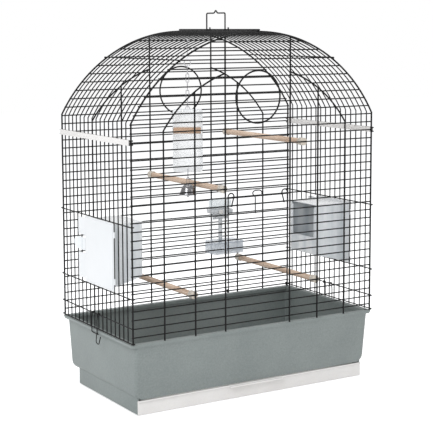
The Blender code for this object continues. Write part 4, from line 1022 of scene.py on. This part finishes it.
def toy_bell(link_top):
    """Spun bell with a rolled lip on its eye, and a ball clapper on a stem."""
    link_low = link_top - LINK_LENGTH
    crown = link_low - 0.012
    profile = [(0.0, 0.0), (0.0034, -0.0003), (0.006, -0.0010), (0.0088, -0.0028), (0.011, -0.0052),
               (0.0130, -0.0086), (0.0145, -0.0122), (0.0160, -0.0172), (0.0172, -0.0202), (0.018, -0.0214),
               (0.0177, -0.022), (0.0168, -0.0217), (0.0158, -0.0196), (0.0146, -0.0168), (0.0132, -0.0126),
               (0.0098, -0.0062), (0.0054, -0.0024), (0.0, -0.0014)]
    spin = turned([(radius, crown + up) for radius, up in profile], (0, 0, 0), (0, 0, 1), 36)
    side = 3 * LINK_R
    parts = [move(spin, TOY_FRAME), eye_wire(side, crown - PLAY, link_low + 2 * LINK_R + GAP, 0.75 * LINK_R)]
    # The bell's chrome carries painted dark reflection in its colour
    add_piece("bell_cup", joined(parts), "bell", "toy_bell", "toy_bell")
    ball_z, ball_r, stem_r = crown - 0.0245, 0.003, 0.0007
    ball = bmesh.new()
    ops.create_uvsphere(ball, u_segments=20, v_segments=12, radius=ball_r)
    ops.translate(ball, vec=(0, 0, ball_z), verts=ball.verts)
    stem = rod((0, 0, ball_z), (0, 0, crown - 0.0014 - GAP), stem_r)
    add_piece("bell_clapper", move(joined([ball, stem]), TOY_FRAME), "chrome", "toy_clapper", "toy_clapper")


toy_bell(toy_mirror(toy_chain()))

# Floor, light and camera

PAPER_GLOW = 0.50


def floor_paper():
    """Pale paper that the camera sees a little lighter, with the cage's shadow on it."""
    paper, tree, surface = new_surface("floor_paper")
    surface.inputs["Base Color"].default_value = (0.93, 0.93, 0.93, 1.0)
    surface.inputs["Roughness"].default_value = 0.9
    surface.inputs["Specular IOR Level"].default_value = 0.1
    glow = add_node(tree, "ShaderNodeEmission", Strength=PAPER_GLOW)
    both = add_node(tree, "ShaderNodeAddShader", [(0, surface.outputs[0]), (1, glow.outputs[0])])
    show(tree, surface, both, tree.nodes["Material Output"])
    return paper


def show(tree, lit, seen, out):
    """Give out one shader for lighting, and another for what the camera, a reflection or clear plastic shows."""
    path = tree.nodes.new("ShaderNodeLightPath")
    first = add_node(tree, "ShaderNodeMath", [(0, path.outputs["Is Camera Ray"]), (1, path.outputs["Is Glossy Ray"])],
                     operation="MAXIMUM")
    second = add_node(tree, "ShaderNodeMath", [(0, first.outputs[0]), (1, path.outputs["Is Transmission Ray"])],
                      operation="MAXIMUM")
    blend = add_node(tree, "ShaderNodeMixShader", [(0, second.outputs[0]), (1, lit.outputs[0]), (2, seen.outputs[0])])
    tree.links.new(blend.outputs[0], out.inputs["Surface"])


def lamp(name, place, target, size, power, colour=(1.0, 1.0, 1.0)):
    """Square soft light that faces a point."""
    data = bpy.data.lights.new(name, "AREA")
    data.shape = "RECTANGLE"
    data.size, data.size_y = size
    data.energy = power
    data.color = colour
    item = linked(bpy.data.objects.new(name, data))
    item.location = place
    item.rotation_euler = (Vector(target) - Vector(place)).to_track_quat("-Z", "Y").to_euler()


shape = bmesh.new()
ops.create_grid(shape, x_segments=1, y_segments=1, size=8.0)
mesh = bpy.data.meshes.new("floor")
shape.to_mesh(mesh)
shape.free()
floor = linked(bpy.data.objects.new("floor", mesh))
mesh.materials.append(floor_paper())

lamp("key", (-2.6, -1.5, 2.4), (0, 0, 0.35), (1.8, 1.8), 62.0, (0.97, 0.985, 1.0))
lamp("fill", (2.2, -3.0, 1.6), (0, 0, 0.35), (2.2, 1.8), 18.0, (1.0, 0.985, 0.97))
lamp("top", (0.2, 0.4, 3.2), (0, 0, 0.4), (2.4, 2.4), 36.0)

world = bpy.data.worlds.new("studio")
bpy.context.scene.world = world
world.use_nodes = True
tree = world.node_tree
tree.nodes.clear()
out = tree.nodes.new("ShaderNodeOutputWorld")
sky = add_node(tree, "ShaderNodeBackground", Color=(0.96, 0.98, 1.0, 1.0), Strength=0.55)
white = add_node(tree, "ShaderNodeBackground", Color=(1.0, 1.0, 1.0, 1.0), Strength=1.0)
show(tree, sky, white, out)
bpy.context.scene.view_settings.view_transform = "Standard"

# The camera was fitted to the photograph: focal length and picture centre in pixels
PICTURE, FOCAL, CENTRE = 433.0, 1254.7, 170.0
SENSOR = 36.0
turn, tilt, roll = radians(-31.394), radians(-6.536), radians(-0.176)
ahead = Vector((-sin(turn) * cos(tilt), cos(turn) * cos(tilt), sin(tilt)))
flat = Vector((cos(turn), sin(turn), 0))
upward = flat.cross(ahead)
right = flat * cos(roll) + upward * sin(roll)
upright = upward * cos(roll) - flat * sin(roll)
data = bpy.data.cameras.new("camera")
data.sensor_width = SENSOR
data.lens = FOCAL * SENSOR / PICTURE
data.shift_y = -(PICTURE / 2 - CENTRE) / PICTURE
camera = linked(bpy.data.objects.new("camera", data))
camera.matrix_world = Matrix.Translation((-1.3917, -2.2752, 0.7627)) @ Matrix(
    (right, upright, -ahead)).transposed().to_4x4()
bpy.context.scene.camera = camera
